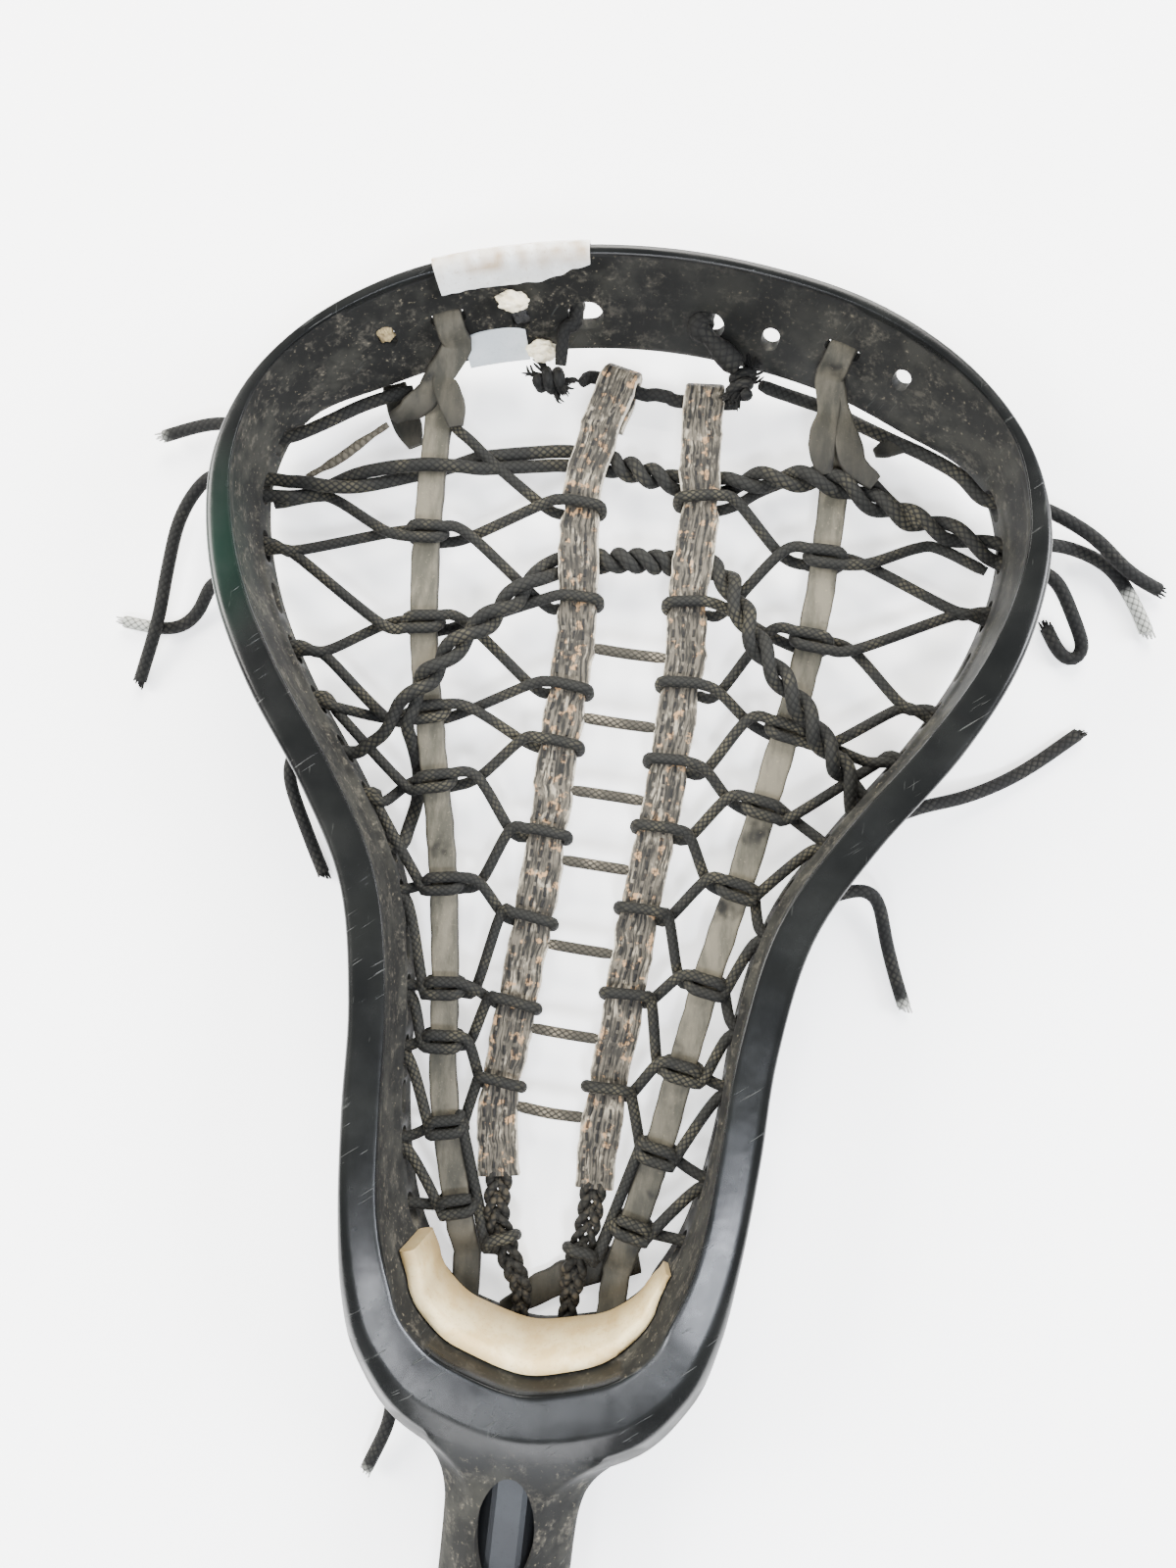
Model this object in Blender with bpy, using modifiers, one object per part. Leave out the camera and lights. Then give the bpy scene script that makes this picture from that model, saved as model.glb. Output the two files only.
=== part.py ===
"""A strung women's lacrosse stick, lying face up.

The origin is under the middle of the stick, on the surface that it lies on.
+Y runs from the butt to the scoop, +X is to the right and +Z comes out of
the face of the head. Sizes are in millimetres and are turned into metres
where a mesh is made. Places on the head are measured from the head's datum,
which lies on the centre line 147.5 mm below the tip of the scoop.
"""

import math

import bmesh
import bpy
from mathutils import Matrix, Vector

MM = 0.001

# Whole stick
OVERALL_LENGTH = 1085.0
SEAT_GAP = 0.3

# Handle and butt cap
SHAFT_FLATS = 22.2
SHAFT_WALL = 1.6
SHAFT_CORNER = 1.4
SHAFT_TOP_Y = -153.6
CAP_RADIUS = 15.5
CAP_RIM = 5.0
CAP_DOME = 2.5
PLUG_LENGTH = 26.0
PLUG_WALL = 2.6
PLUG_CLEARANCE = 0.25

# Neck socket. Each row of the flare: distance below the bulkhead, half width,
# bottom and top height, width and drop of the upper flank, lower chamfer.
SOCKET_WIDTH = 33.6
SOCKET_HEIGHT = 29.0
SOCKET_TOP_Y = -146.0
SOCKET_END_Y = -212.0
SOCKET_FLANK = 9.0
NECK_FLARE = (
    (0.0, 31.0, 8.0, 31.6, 6.0, 6.0, 4.0),
    (5.0, 30.0, 4.0, 31.6, 9.0, 9.0, 4.0),
    (10.0, 25.5, 1.8, 31.2, 11.0, 11.0, 6.0),
    (15.0, 20.6, 1.0, 30.8, 11.0, 11.0, 7.5),
    (21.0, 17.8, 1.0, 30.2, 9.8, 9.8, 8.4),
)
COLLAR_SWELL = 0.8
COLLAR_LENGTH = 7.0
BORE_CLEARANCE = 0.2
SHAFT_STEP = 0.1
WINDOW_WIDTH = 14.4
WINDOW_TOP_Y = -157.8
WINDOW_LENGTH = 28.0

# Neck screw, driven in from below
SCREW_Y = -201.0
SCREW_SHANK = 3.0
SCREW_HEAD = 6.4
SCREW_HEAD_DEPTH = 1.4
SCREW_LENGTH = 9.0
SCREW_CLEARANCE = 0.3

# Rim of the head, from the middle of the scoop to the middle of the throat.
# Each row: x, y of the outer edge, width of the front face, height of the
# front face, height of the back edge, inward lean of the back edge, depth of
# the inner groove, width and drop of the outer shoulder.
RIM_ROWS = (
    (0.0, 147.5, 2.6, 36.5, 8.0, 13.0, 0.0, 0.9, 0.9),
    (28.0, 145.2, 2.6, 36.5, 8.0, 13.0, 0.0, 0.9, 0.9),
    (56.0, 138.0, 2.8, 37.0, 7.5, 12.0, 0.0, 0.9, 0.9),
    (79.0, 125.5, 2.8, 37.0, 6.5, 9.5, 0.0, 0.9, 0.9),
    (95.0, 109.5, 3.0, 37.0, 5.0, 2.5, 0.0, 1.0, 0.9),
    (103.2, 92.0, 4.8, 37.0, 4.0, 0.0, 0.3, 1.2, 1.0),
    (104.9, 74.0, 6.4, 37.0, 3.0, -0.2, 0.6, 1.6, 1.2),
    (100.0, 51.0, 8.0, 37.0, 2.5, 0.0, 0.8, 1.8, 1.2),
    (88.5, 28.0, 9.0, 37.0, 2.0, 0.0, 1.0, 1.8, 1.2),
    (71.0, 3.0, 9.0, 36.5, 1.2, 0.0, 1.4, 1.8, 1.2),
    (58.5, -20.0, 9.5, 36.5, 0.5, 0.0, 1.4, 1.8, 1.2),
    (53.0, -48.0, 9.7, 36.5, 0.1, 0.0, 1.4, 1.8, 1.2),
    (51.6, -74.0, 10.1, 36.5, 0.1, 0.0, 1.2, 2.0, 1.4),
    (49.6, -98.0, 10.4, 36.5, 0.2, 2.0, 0.4, 2.5, 1.8),
    (46.8, -119.0, 13.6, 36.0, 0.3, 4.0, 0.0, 4.5, 3.5),
    (41.5, -136.0, 17.2, 35.0, 0.3, 5.0, 0.0, 7.5, 6.0),
    (28.0, -152.0, 22.2, 34.0, 0.3, 6.0, 0.0, 11.0, 8.0),
    (0.0, -160.5, 23.8, 33.5, 0.3, 7.0, 0.0, 13.0, 8.0),
)
RIM_STEPS = 3
SCOOP_TIP_Y = RIM_ROWS[0][1]
LAST_ROW = len(RIM_ROWS) - 1
FLANGE_THICKNESS = 3.2
WALL_THICKNESS = 2.6
RAIL_THICKNESS = 3.4
RAIL_TOP_Z = 14.0
THROAT_RIB = 2.4
THROAT_CENTRE_Y = -95.0

# Strings: heights and sizes
POCKET_Z = 9.5
THONG_WIDTH = 7.6
THONG_THICKNESS = 2.2
RUNNER_WIDTH = 11.0
RUNNER_THICKNESS = 3.0
RUNNER_FOLD = 11.0
LACE = 3.0
CORD = 3.6
KNOT_CORD = 2.6
KNOT_RADIUS = 2.3
KNOT_PITCH = 3.0
KNOT_TURNS = 2.5
STRAND_PITCH = 4.2
LACE_PAIR = 3.6
LEG_Z = 3.3
THONG_LEVEL_Y = -105.5
THONG_SUNK_Y = -117.0
THONG_TAIL = (6.0, -10.5)

# Holes for the strings
SCOOP_STRING_HOLE_Y = 98.0
UPPER_STRING_HOLE_Y = 84.5
LOWER_STRING_HOLE_Y = 15.5
LOW_STRING_HOLE_Y = -9.5
HOOK_TAIL_HOLE_Y = 54.5
LACE_HOLES = (68.5, 41.0, 28.0, 3.5, -22.0, -47.0, -63.0, -87.0, -104.0)
SPARE_HOLES = (-34.5, -75.0)
STRING_PAIR = 4.6
LACE_HOLE_WIDTH = 9.0
LACE_HOLE_HEIGHT = 4.8
SCOOP_HOLES = ((33.0, 19.0), (67.0, 23.0))
SCOOP_HOLE = 4.6
SCOOP_HOLE_HEIGHT = 6.8
THONG_SLOT_X = 51.5
THONG_SLOT_Z = 23.0
RUNNER_SLOT_X = 16.0
RUNNER_SLOT_Z = 18.8
RUNNER_SLOT_WIDTH = 9.6
RUNNER_SLOT_HEIGHT = 8.0
SLOT_CLEARANCE = 0.5
THROAT_Z = 5.0
THROAT_THONG_X = 19.5
THROAT_CORD_X = 7.0
THROAT_HOLE_CLEARANCE = 0.9
CORD_STRAP_WIDTH = 5.6
CORD_STRAP_THICKNESS = 4.0

# Ball stop pad
PAD_THICKNESS = 4.0
PAD_BOTTOM_Z = 9.0
PAD_TOP_Z = 27.0
PAD_END_STEP = 41

# Tape on the rim
TAPE_THICKNESS = 0.8
TAPE_DEPTH = 9.0
TAPE_LEFT_X = -53.0
TAPE_RIGHT_X = -17.0
STRIP_LEFT_X = -44.0
STRIP_RIGHT_X = -33.0
STRIP_REACH = 9.0
STRIP_RISE = 11.0

# Where the strings run: x and y along the middle of each strap
THONG_LEFT = ((-54.0, 112.0), (-53.5, 80.0), (-51.0, 49.0), (-45.3, 20.0), (-38.8, -10.0), (-35.0, -35.0),
              (-33.3, -50.0), (-31.6, -68.0), (-27.8, -86.0), (-23.6, -101.0), (-22.6, -105.0),
              (-19.5, -116.0))
THONG_RIGHT = ((54.0, 112.0), (54.4, 88.0), (52.5, 55.0), (46.8, 22.0), (41.0, -8.0), (36.0, -30.0),
               (32.4, -50.0), (29.0, -70.0), (25.6, -88.0), (22.6, -101.0), (22.0, -105.0),
               (19.5, -116.0))
RUNNER_LEFT = ((-6.2, 123.0), (-10.8, 104.0), (-12.2, 84.0), (-10.0, 60.0), (-10.0, 40.0), (-11.0, 16.0),
               (-11.5, -10.0), (-13.0, -32.0), (-14.8, -55.0), (-16.0, -73.0), (-13.5, -92.0))
RUNNER_RIGHT = ((17.5, 120.4), (18.2, 104.0), (19.6, 85.0), (19.2, 66.0), (20.0, 48.0), (19.0, 24.0),
                (17.3, 0.0), (15.0, -25.0), (13.8, -48.0), (12.0, -70.0), (11.6, -92.0))

# Heights along the stick where a lace goes round a strap, from the scoop down
THONG_TURNS_LEFT = (76.3, 51.7, 27.6, 9.3, -17.6, -45.0, -59.0, -81.0, -101.0)
THONG_TURNS_RIGHT = (79.7, 57.2, 32.7, 11.8, -10.3, -36.0, -59.0, -81.0, -101.0)
RUNNER_TURNS_LEFT = (87.0, 61.5, 37.7, 22.5, -1.7, -24.6, -47.3, -68.3)
RUNNER_TURNS_RIGHT = (91.6, 63.1, 41.5, 20.8, 2.9, -19.1, -41.6, -66.5)
CORD_TURN_LEFT = -108.5
CORD_TURN_RIGHT = -109.0
LADDER_Y = (49.3, 30.4, 10.7, -8.1, -30.6, -53.2, -74.0)

HEAD_Y = OVERALL_LENGTH / 2 - SCOOP_TIP_Y
BUTT_Y = -OVERALL_LENGTH / 2 - HEAD_Y
SHAFT_AXIS_Z = CAP_RADIUS
OCTAGON = math.cos(math.pi / 8)


def clear_scene():
    """Remove every object and the collections of an earlier run."""
    for item in list(bpy.data.objects):
        bpy.data.objects.remove(item, do_unlink=True)
    for group in list(bpy.data.collections):
        bpy.data.collections.remove(group)


def make_collection(name):
    group = bpy.data.collections.new(name)
    bpy.context.scene.collection.children.link(group)
    return group


def make_material(name, colour, roughness, metallic=0.0):
    material = bpy.data.materials.new(name)
    material.use_nodes = True
    shader = material.node_tree.nodes["Principled BSDF"]
    shader.inputs["Base Color"].default_value = (*colour, 1.0)
    shader.inputs["Roughness"].default_value = roughness
    shader.inputs["Metallic"].default_value = metallic
    return material


def metres(point):
    return Vector(point) * MM


def mesh_object(name, builder, group):
    """Make an object from a bmesh and set it at the head's datum."""
    mesh = bpy.data.meshes.new(name)
    builder.to_mesh(mesh)
    builder.free()
    item = bpy.data.objects.new(name, mesh)
    group.objects.link(item)
    item.location.y = HEAD_Y * MM
    return item


def dress(item, material, smooth_angle=40.0):
    item.data.materials.clear()
    item.data.materials.append(material)
    if item.type == "MESH":
        item.data.shade_smooth()
        item.data.set_sharp_from_angle(angle=math.radians(smooth_angle))


def as_cutter(item, group):
    for old in list(item.users_collection):
        old.objects.unlink(item)
    group.objects.link(item)
    item.hide_render = True
    item.display_type = "WIRE"


def add_boolean(item, other, operation):
    modifier = item.modifiers.new(operation.title() + "_" + other.name, "BOOLEAN")
    modifier.operation = operation
    modifier.solver = "EXACT"
    modifier.object = other


def add_bevel(item, width, segments=1, angle=40.0):
    modifier = item.modifiers.new("Bevel", "BEVEL")
    modifier.width = width * MM
    modifier.segments = segments
    modifier.limit_method = "ANGLE"
    modifier.angle_limit = math.radians(angle)


def add_mirror(item):
    modifier = item.modifiers.new("Mirror", "MIRROR")
    modifier.use_axis = (True, False, False)
    modifier.merge_threshold = 0.0001


def catmull(before, start, end, after, share):
    """A point on a Catmull-Rom span, column by column."""
    result = []
    for a, b, c, d in zip(before, start, end, after):
        result.append(0.5 * (2 * b + (c - a) * share + (2 * a - 5 * b + 4 * c - d) * share ** 2
                             + (3 * b - a - 3 * c + d) * share ** 3))
    return result


def smooth_route(points, spacing):
    """Points about one spacing apart on a smooth curve through the given ones."""
    points = [Vector(point) for point in points]
    route = []
    for index in range(len(points) - 1):
        start, end = points[index], points[index + 1]
        before = points[index - 1] if index else start * 2 - end
        after = points[index + 2] if index + 2 < len(points) else end * 2 - start
        steps = max(1, round((end - start).length / spacing))
        route += [Vector(catmull(before, start, end, after, step / steps)) for step in range(steps)]
    route.append(points[-1])
    return route


def rim_row(place):
    """The rim's row of sizes at a place between rows; it mirrors past both ends."""
    def row(index):
        if index < 0:
            return (-RIM_ROWS[-index][0],) + RIM_ROWS[-index][1:]
        if index > LAST_ROW:
            mirrored = RIM_ROWS[2 * LAST_ROW - index]
            return (-mirrored[0],) + mirrored[1:]
        return RIM_ROWS[index]

    index = min(int(place), LAST_ROW - 1)
    return catmull(row(index - 1), row(index), row(index + 1), row(index + 2), place - index)


def rim_frame(place):
    """The rim's outer point, its inward direction and its row at a place.

    The direction is square to the outline, but points to one centre in the throat.
    """
    step = 0.01
    low = rim_row(max(place - step, 0.0))
    high = rim_row(min(place + step, float(LAST_ROW)))
    along = Vector((high[0] - low[0], high[1] - low[1]))
    if place < step or place > LAST_ROW - step:
        along.y = 0.0
    along.normalize()
    row = rim_row(place)
    edge = Vector((row[0], row[1]))
    normal = Vector((along.y, -along.x))
    share = min(max((place - LAST_ROW + 4) / 1.5, 0.0), 1.0)
    inward = (Vector((0.0, THROAT_CENTRE_Y)) - edge).normalized()
    return edge, normal.lerp(inward, share).normalized(), row


def inner_depth(row, height):
    """How far inside the outer edge the wall's inner face is at a height."""
    front, back, lean = row[3], row[4], row[5]
    return row[2] + lean * (front - height) / (front - back)


def wall_point(place, height, outside=0.0):
    """A point on the wall's inner face, or further out by the given distance."""
    edge, normal, row = rim_frame(place)
    return edge + normal * (inner_depth(row, height) - outside), normal


def place_where(axis, value, height, low, high):
    """The place between two rows where the inner face has the given x or y."""
    rising = wall_point(high, height)[0][axis] > wall_point(low, height)[0][axis]
    for _ in range(40):
        middle = (low + high) / 2
        if (wall_point(middle, height)[0][axis] < value) == rising:
            low = middle
        else:
            high = middle
    return (low + high) / 2


def side_place(y, height=POCKET_Z):
    return place_where(1, y, height, 4.0, 14.5)


def scoop_place(x, height):
    return place_where(0, abs(x), height, 0.0, 4.0)


def rim_section(row):
    """The rim's closed outline at one row, as depth from the outer edge and height."""
    face, front, back, groove, shoulder, drop = row[2], row[3], row[4], row[6], row[7], row[8]
    under = front - max(FLANGE_THICKNESS, drop + 2.2)

    def face_at(height):
        return inner_depth(row, height)

    rail_mid = RAIL_TOP_Z + 1.4
    groove_top = front - FLANGE_THICKNESS - 1.4
    return (
        (0.0, front - drop),
        (shoulder * 0.45, front - drop * 0.3),
        (shoulder, front),
        (face - 0.7, front),
        (face_at(front - 0.7), front - 0.7),
        (face_at(front - FLANGE_THICKNESS), front - FLANGE_THICKNESS),
        (face_at(groove_top) - groove, groove_top),
        (face_at(rail_mid) - groove, rail_mid),
        (face_at(RAIL_TOP_Z), RAIL_TOP_Z),
        (face_at(back + 0.8), back + 0.8),
        (face_at(back) - 0.8, back),
        (face_at(back) - RAIL_THICKNESS + 0.8, back),
        (face_at(back + 0.8) - RAIL_THICKNESS, back + 0.8),
        (face_at(RAIL_TOP_Z) - RAIL_THICKNESS, RAIL_TOP_Z),
        (face_at(rail_mid) - groove - WALL_THICKNESS, rail_mid),
        (max(face_at(groove_top) - groove - WALL_THICKNESS, 0.15), min(groove_top, under - 0.4)),
        (0.0, under),
    )


def skin_rings(builder, rings, cap_first, cap_last):
    """Join rings of points with quads, and cap the ends that are asked for."""
    loops = [[builder.verts.new(metres(point)) for point in ring] for ring in rings]
    for first, second in zip(loops, loops[1:]):
        count = len(first)
        for index in range(count):
            following = (index + 1) % count
            builder.faces.new((first[index], first[following], second[following], second[index]))
    if cap_first:
        builder.faces.new(list(reversed(loops[0])))
    if cap_last:
        builder.faces.new(loops[-1])
    bmesh.ops.recalc_face_normals(builder, faces=builder.faces)


def section_ring(place, section):
    """Set a flat section of depths and heights square to the rim at a place."""
    edge, normal, row = rim_frame(place)
    ring = []
    for depth, height in section(row):
        spot = edge + normal * depth
        ring.append((spot.x, spot.y, height))
    return ring


def make_rim(group):
    builder = bmesh.new()
    count = LAST_ROW * RIM_STEPS
    rings = [section_ring(step / RIM_STEPS, rim_section) for step in range(count + 1)]
    for ring in (rings[0], rings[-1]):
        ring[:] = [(0.0, y, z) for _, y, z in ring]
    skin_rings(builder, rings, False, False)
    item = mesh_object("head_frame", builder, group)
    add_mirror(item)
    return item


def eight_ring(y, half, low, high, flank, drop, foot):
    """An upright eight-sided ring with its upper flanks and lower corners cut."""
    right = ((half - flank, high), (half, high - drop), (half, low + foot), (half - foot, low))
    left = [(-x, z) for x, z in reversed(right)]
    return [(x, y, z) for x, z in (*right, *left)]


def make_socket(cutters):
    """The neck's outer body, closed, to be joined to the rim."""
    half = SOCKET_WIDTH / 2
    low = SHAFT_AXIS_Z - SOCKET_HEIGHT / 2
    high = low + SOCKET_HEIGHT
    rings = [eight_ring(SOCKET_TOP_Y - row[0], *row[1:]) for row in NECK_FLARE]
    collar_y = SOCKET_END_Y + COLLAR_LENGTH
    swell = COLLAR_SWELL
    for y, grow in ((SOCKET_TOP_Y - 30.0, 0.0), (collar_y + 2.0, -0.7), (collar_y, swell - 0.7),
                    (SOCKET_END_Y + 0.8, swell - 0.7), (SOCKET_END_Y, -0.9)):
        rings.append(eight_ring(y, half + grow, max(low, low - grow), high + grow,
                                SOCKET_FLANK, SOCKET_FLANK, SOCKET_FLANK))
    builder = bmesh.new()
    skin_rings(builder, rings, True, True)
    item = mesh_object("neck_body", builder, cutters)
    as_cutter(item, cutters)
    return item


def box(name, low, high, group):
    """A box between two corners, made from a unit cube."""
    builder = bmesh.new()
    bmesh.ops.create_cube(builder, size=1.0)
    size = Vector(high) - Vector(low)
    middle = (Vector(high) + Vector(low)) / 2
    bmesh.ops.scale(builder, vec=size * MM, verts=builder.verts)
    bmesh.ops.translate(builder, vec=middle * MM, verts=builder.verts)
    item = mesh_object(name, builder, group)
    return item


def add_stadium(builder, centre, through, across, width, height, length, segments=5):
    """Add a closed prism with round ends to a bmesh.

    centre is its middle, through its axis, across the direction of its width.
    A width equal to the height gives a round prism, and no segments an oval one.
    """
    through = Vector(through).normalized()
    across = Vector(across).normalized()
    upward = through.cross(across)
    radius = height / 2
    reach = max(width / 2 - radius, 0.0)
    outline = []
    for end, start in ((1, -math.pi / 2), (-1, math.pi / 2)):
        for step in range(segments):
            angle = start + math.pi * step / (segments - 1)
            spot = across * (end * reach + radius * math.cos(angle))
            outline.append(spot + upward * (radius * math.sin(angle)))
    if reach == 0.0 or not segments:
        count = 10 if segments else 24
        outline = [across * (width / 2 * math.cos(math.tau * k / count))
                   + upward * (radius * math.sin(math.tau * k / count)) for k in range(count)]
    near = [builder.verts.new(metres(Vector(centre) - through * (length / 2) + spot)) for spot in outline]
    far = [builder.verts.new(metres(Vector(centre) + through * (length / 2) + spot)) for spot in outline]
    count = len(outline)
    builder.faces.new(list(reversed(near)))
    builder.faces.new(far)
    for index in range(count):
        following = (index + 1) % count
        builder.faces.new((near[index], near[following], far[following], far[index]))


def wall_frame(place, height, side):
    """A point in the middle of the wall, its outward and along directions, for one side."""
    spot, normal = wall_point(place, height, RAIL_THICKNESS / 2)
    centre = Vector((side * spot.x, spot.y, height))
    outward = Vector((-side * normal.x, -normal.y, 0.0))
    along = Vector((outward.y, -outward.x, 0.0))
    return centre, outward, along


def make_hole_cutter(cutters):
    """One cutter with every string hole of the head."""
    builder = bmesh.new()
    deep = RAIL_THICKNESS + 4.0
    for side in (-1, 1):
        for y in (SCOOP_STRING_HOLE_Y, UPPER_STRING_HOLE_Y, HOOK_TAIL_HOLE_Y, LOWER_STRING_HOLE_Y,
                  LOW_STRING_HOLE_Y, *LACE_HOLES, *SPARE_HOLES):
            centre, outward, along = wall_frame(side_place(y), POCKET_Z, side)
            add_stadium(builder, centre, outward, along, LACE_HOLE_WIDTH, LACE_HOLE_HEIGHT, deep)
        for x, z in SCOOP_HOLES:
            centre, outward, along = wall_frame(scoop_place(x, z), z, side)
            add_stadium(builder, centre, outward, Vector((0.0, 0.0, 1.0)), SCOOP_HOLE_HEIGHT, SCOOP_HOLE, deep)
        centre, outward, along = wall_frame(scoop_place(THONG_SLOT_X, THONG_SLOT_Z), THONG_SLOT_Z, side)
        add_stadium(builder, centre, outward, along, THONG_WIDTH + 4 * SLOT_CLEARANCE,
                    THONG_THICKNESS + 4 * SLOT_CLEARANCE, deep, 3)
        centre, outward, along = wall_frame(scoop_place(RUNNER_SLOT_X, RUNNER_SLOT_Z), RUNNER_SLOT_Z, side)
        add_stadium(builder, centre, outward, along, RUNNER_SLOT_WIDTH, RUNNER_SLOT_HEIGHT, deep, 3)
        for x, width, height in ((THROAT_THONG_X, THONG_WIDTH, THONG_THICKNESS),
                                 (THROAT_CORD_X, CORD_STRAP_WIDTH * 0.8, CORD_STRAP_THICKNESS)):
            spot = throat_wall(x, THROAT_Z)
            clearance = 2 * THROAT_HOLE_CLEARANCE
            add_stadium(builder, (side * x, spot, THROAT_Z), (0.0, 1.0, 0.0), (1.0, 0.0, 0.0),
                        width + clearance, height + clearance, 2 * RAIL_THICKNESS + 9.0, 4)
    bmesh.ops.recalc_face_normals(builder, faces=builder.faces)
    item = mesh_object("string_holes", builder, cutters)
    as_cutter(item, cutters)
    return item


def throat_wall(x, height):
    """The y of the throat wall's inner face at an x."""
    place = place_where(0, abs(x), height, 14.0, float(LAST_ROW))
    return wall_point(place, height, RAIL_THICKNESS / 2)[0].y


def make_bore_cutter(cutters):
    """The eight-sided bore, the window over it and the hole for the neck screw."""
    half = SHAFT_FLATS / 2 + BORE_CLEARANCE
    corner = half * (1 - math.tan(math.pi / 8))
    low, high = SHAFT_AXIS_Z - half, SHAFT_AXIS_Z + half
    rings = [eight_ring(y, half, low, high, corner, corner, corner)
             for y in (SHAFT_TOP_Y + SEAT_GAP, SOCKET_END_Y - 5.0)]
    builder = bmesh.new()
    skin_rings(builder, rings, True, True)
    bore = mesh_object("bore", builder, cutters)
    as_cutter(bore, cutters)

    builder = bmesh.new()
    middle_y = WINDOW_TOP_Y - WINDOW_LENGTH / 2
    add_stadium(builder, (0.0, middle_y, SHAFT_AXIS_Z + 20.0), (0.0, 0.0, 1.0), (0.0, 1.0, 0.0),
                WINDOW_LENGTH, WINDOW_WIDTH, 36.0, 0)
    bmesh.ops.recalc_face_normals(builder, faces=builder.faces)
    window = mesh_object("window", builder, cutters)
    as_cutter(window, cutters)

    shank = screw_cutter("screw_hole", SCREW_SHANK + 2 * SCREW_CLEARANCE, -2.0, SHAFT_AXIS_Z - 4.0, cutters)
    seat = screw_cutter("screw_recess", SCREW_HEAD + 2 * SCREW_CLEARANCE, -3.0, screw_seat_z(), cutters)
    return bore, window, shank, seat


def screw_cutter(name, width, low, high, cutters):
    """An upright round cutter on the axis of the neck screw."""
    builder = bmesh.new()
    radius = width / 2
    turns = [math.tau * k / 16 for k in range(16)]
    rings = []
    for z in (low, high):
        rings.append([(radius * math.cos(turn), SCREW_Y + radius * math.sin(turn), z) for turn in turns])
    skin_rings(builder, rings, True, True)
    item = mesh_object(name, builder, cutters)
    as_cutter(item, cutters)
    return item


def screw_seat_z():
    """Height of the seat under the screw's head, in the socket's lower wall."""
    return SHAFT_AXIS_Z - SOCKET_HEIGHT / 2 + SCREW_HEAD_DEPTH + 2 * SEAT_GAP


def make_head_frame(group, cutters, material):
    rim = make_rim(group)
    socket = make_socket(cutters)
    add_boolean(rim, socket, "UNION")
    back_y = throat_wall(0.5, PAD_TOP_Z)
    half = THROAT_RIB / 2
    rib = box("throat_rib", (-half, SOCKET_TOP_Y - 3.0, 9.0), (half, back_y, PAD_TOP_Z), cutters)
    as_cutter(rib, cutters)
    add_boolean(rim, rib, "UNION")
    bore, window, shank, seat = make_bore_cutter(cutters)
    for cutter in (bore, window, seat, shank, make_hole_cutter(cutters)):
        add_boolean(rim, cutter, "DIFFERENCE")
    dress(rim, material, 32.0)
    return rim, shank


def make_shaft(group, material, screw_hole):
    """An open eight-sided tube with a wall, from the socket to the butt cap."""
    end_y = BUTT_Y + CAP_RIM
    length = SHAFT_TOP_Y - end_y
    builder = bmesh.new()
    bmesh.ops.create_cone(builder, cap_ends=False, segments=8, radius1=SHAFT_FLATS / 2 / OCTAGON * MM,
                          radius2=SHAFT_FLATS / 2 / OCTAGON * MM, depth=length * MM)
    bmesh.ops.rotate(builder, verts=builder.verts, matrix=Matrix.Rotation(math.pi / 8, 3, "Z"))
    bmesh.ops.rotate(builder, verts=builder.verts, matrix=Matrix.Rotation(math.pi / 2, 3, "X"))
    # The end inside the socket is a hair slimmer, so that the bare flats stop at the collar.
    bare_end = (SHAFT_TOP_Y - end_y) / 2 - (SHAFT_TOP_Y - SOCKET_END_Y) - SEAT_GAP
    for cut in (bare_end - 0.5, bare_end - 0.1):
        bmesh.ops.bisect_plane(builder, geom=builder.verts[:] + builder.edges[:] + builder.faces[:],
                               plane_co=(0.0, cut * MM, 0.0), plane_no=(0.0, 1.0, 0.0))
    slim = 1 - SHAFT_STEP / (SHAFT_FLATS / 2)
    for vert in builder.verts:
        if vert.co.y > (bare_end - 0.3) * MM:
            vert.co.x *= slim
            vert.co.z *= slim
    middle = Vector((0.0, (SHAFT_TOP_Y + end_y) / 2, SHAFT_AXIS_Z))
    bmesh.ops.translate(builder, vec=middle * MM, verts=builder.verts)
    item = mesh_object("shaft_tube", builder, group)
    add_bevel(item, SHAFT_CORNER, 2, 30.0)
    wall = item.modifiers.new("Wall", "SOLIDIFY")
    wall.thickness = SHAFT_WALL * MM
    wall.offset = -1.0
    wall.use_even_offset = True
    add_boolean(item, screw_hole, "DIFFERENCE")
    dress(item, material, 30.0)
    return item


def make_turned(name, profile, group, steps):
    """A solid turned round local Z from a profile that runs down its outer side."""
    builder = bmesh.new()
    points = [builder.verts.new(Vector((radius, 0.0, height)) * MM) for radius, height in profile]
    for first, second in zip(points, points[1:]):
        builder.edges.new((first, second))
    item = mesh_object(name, builder, group)
    screw = item.modifiers.new("Screw", "SCREW")
    screw.axis = "Z"
    screw.steps = steps
    screw.render_steps = steps
    screw.use_merge_vertices = True
    screw.merge_threshold = 0.0001
    return item


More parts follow.
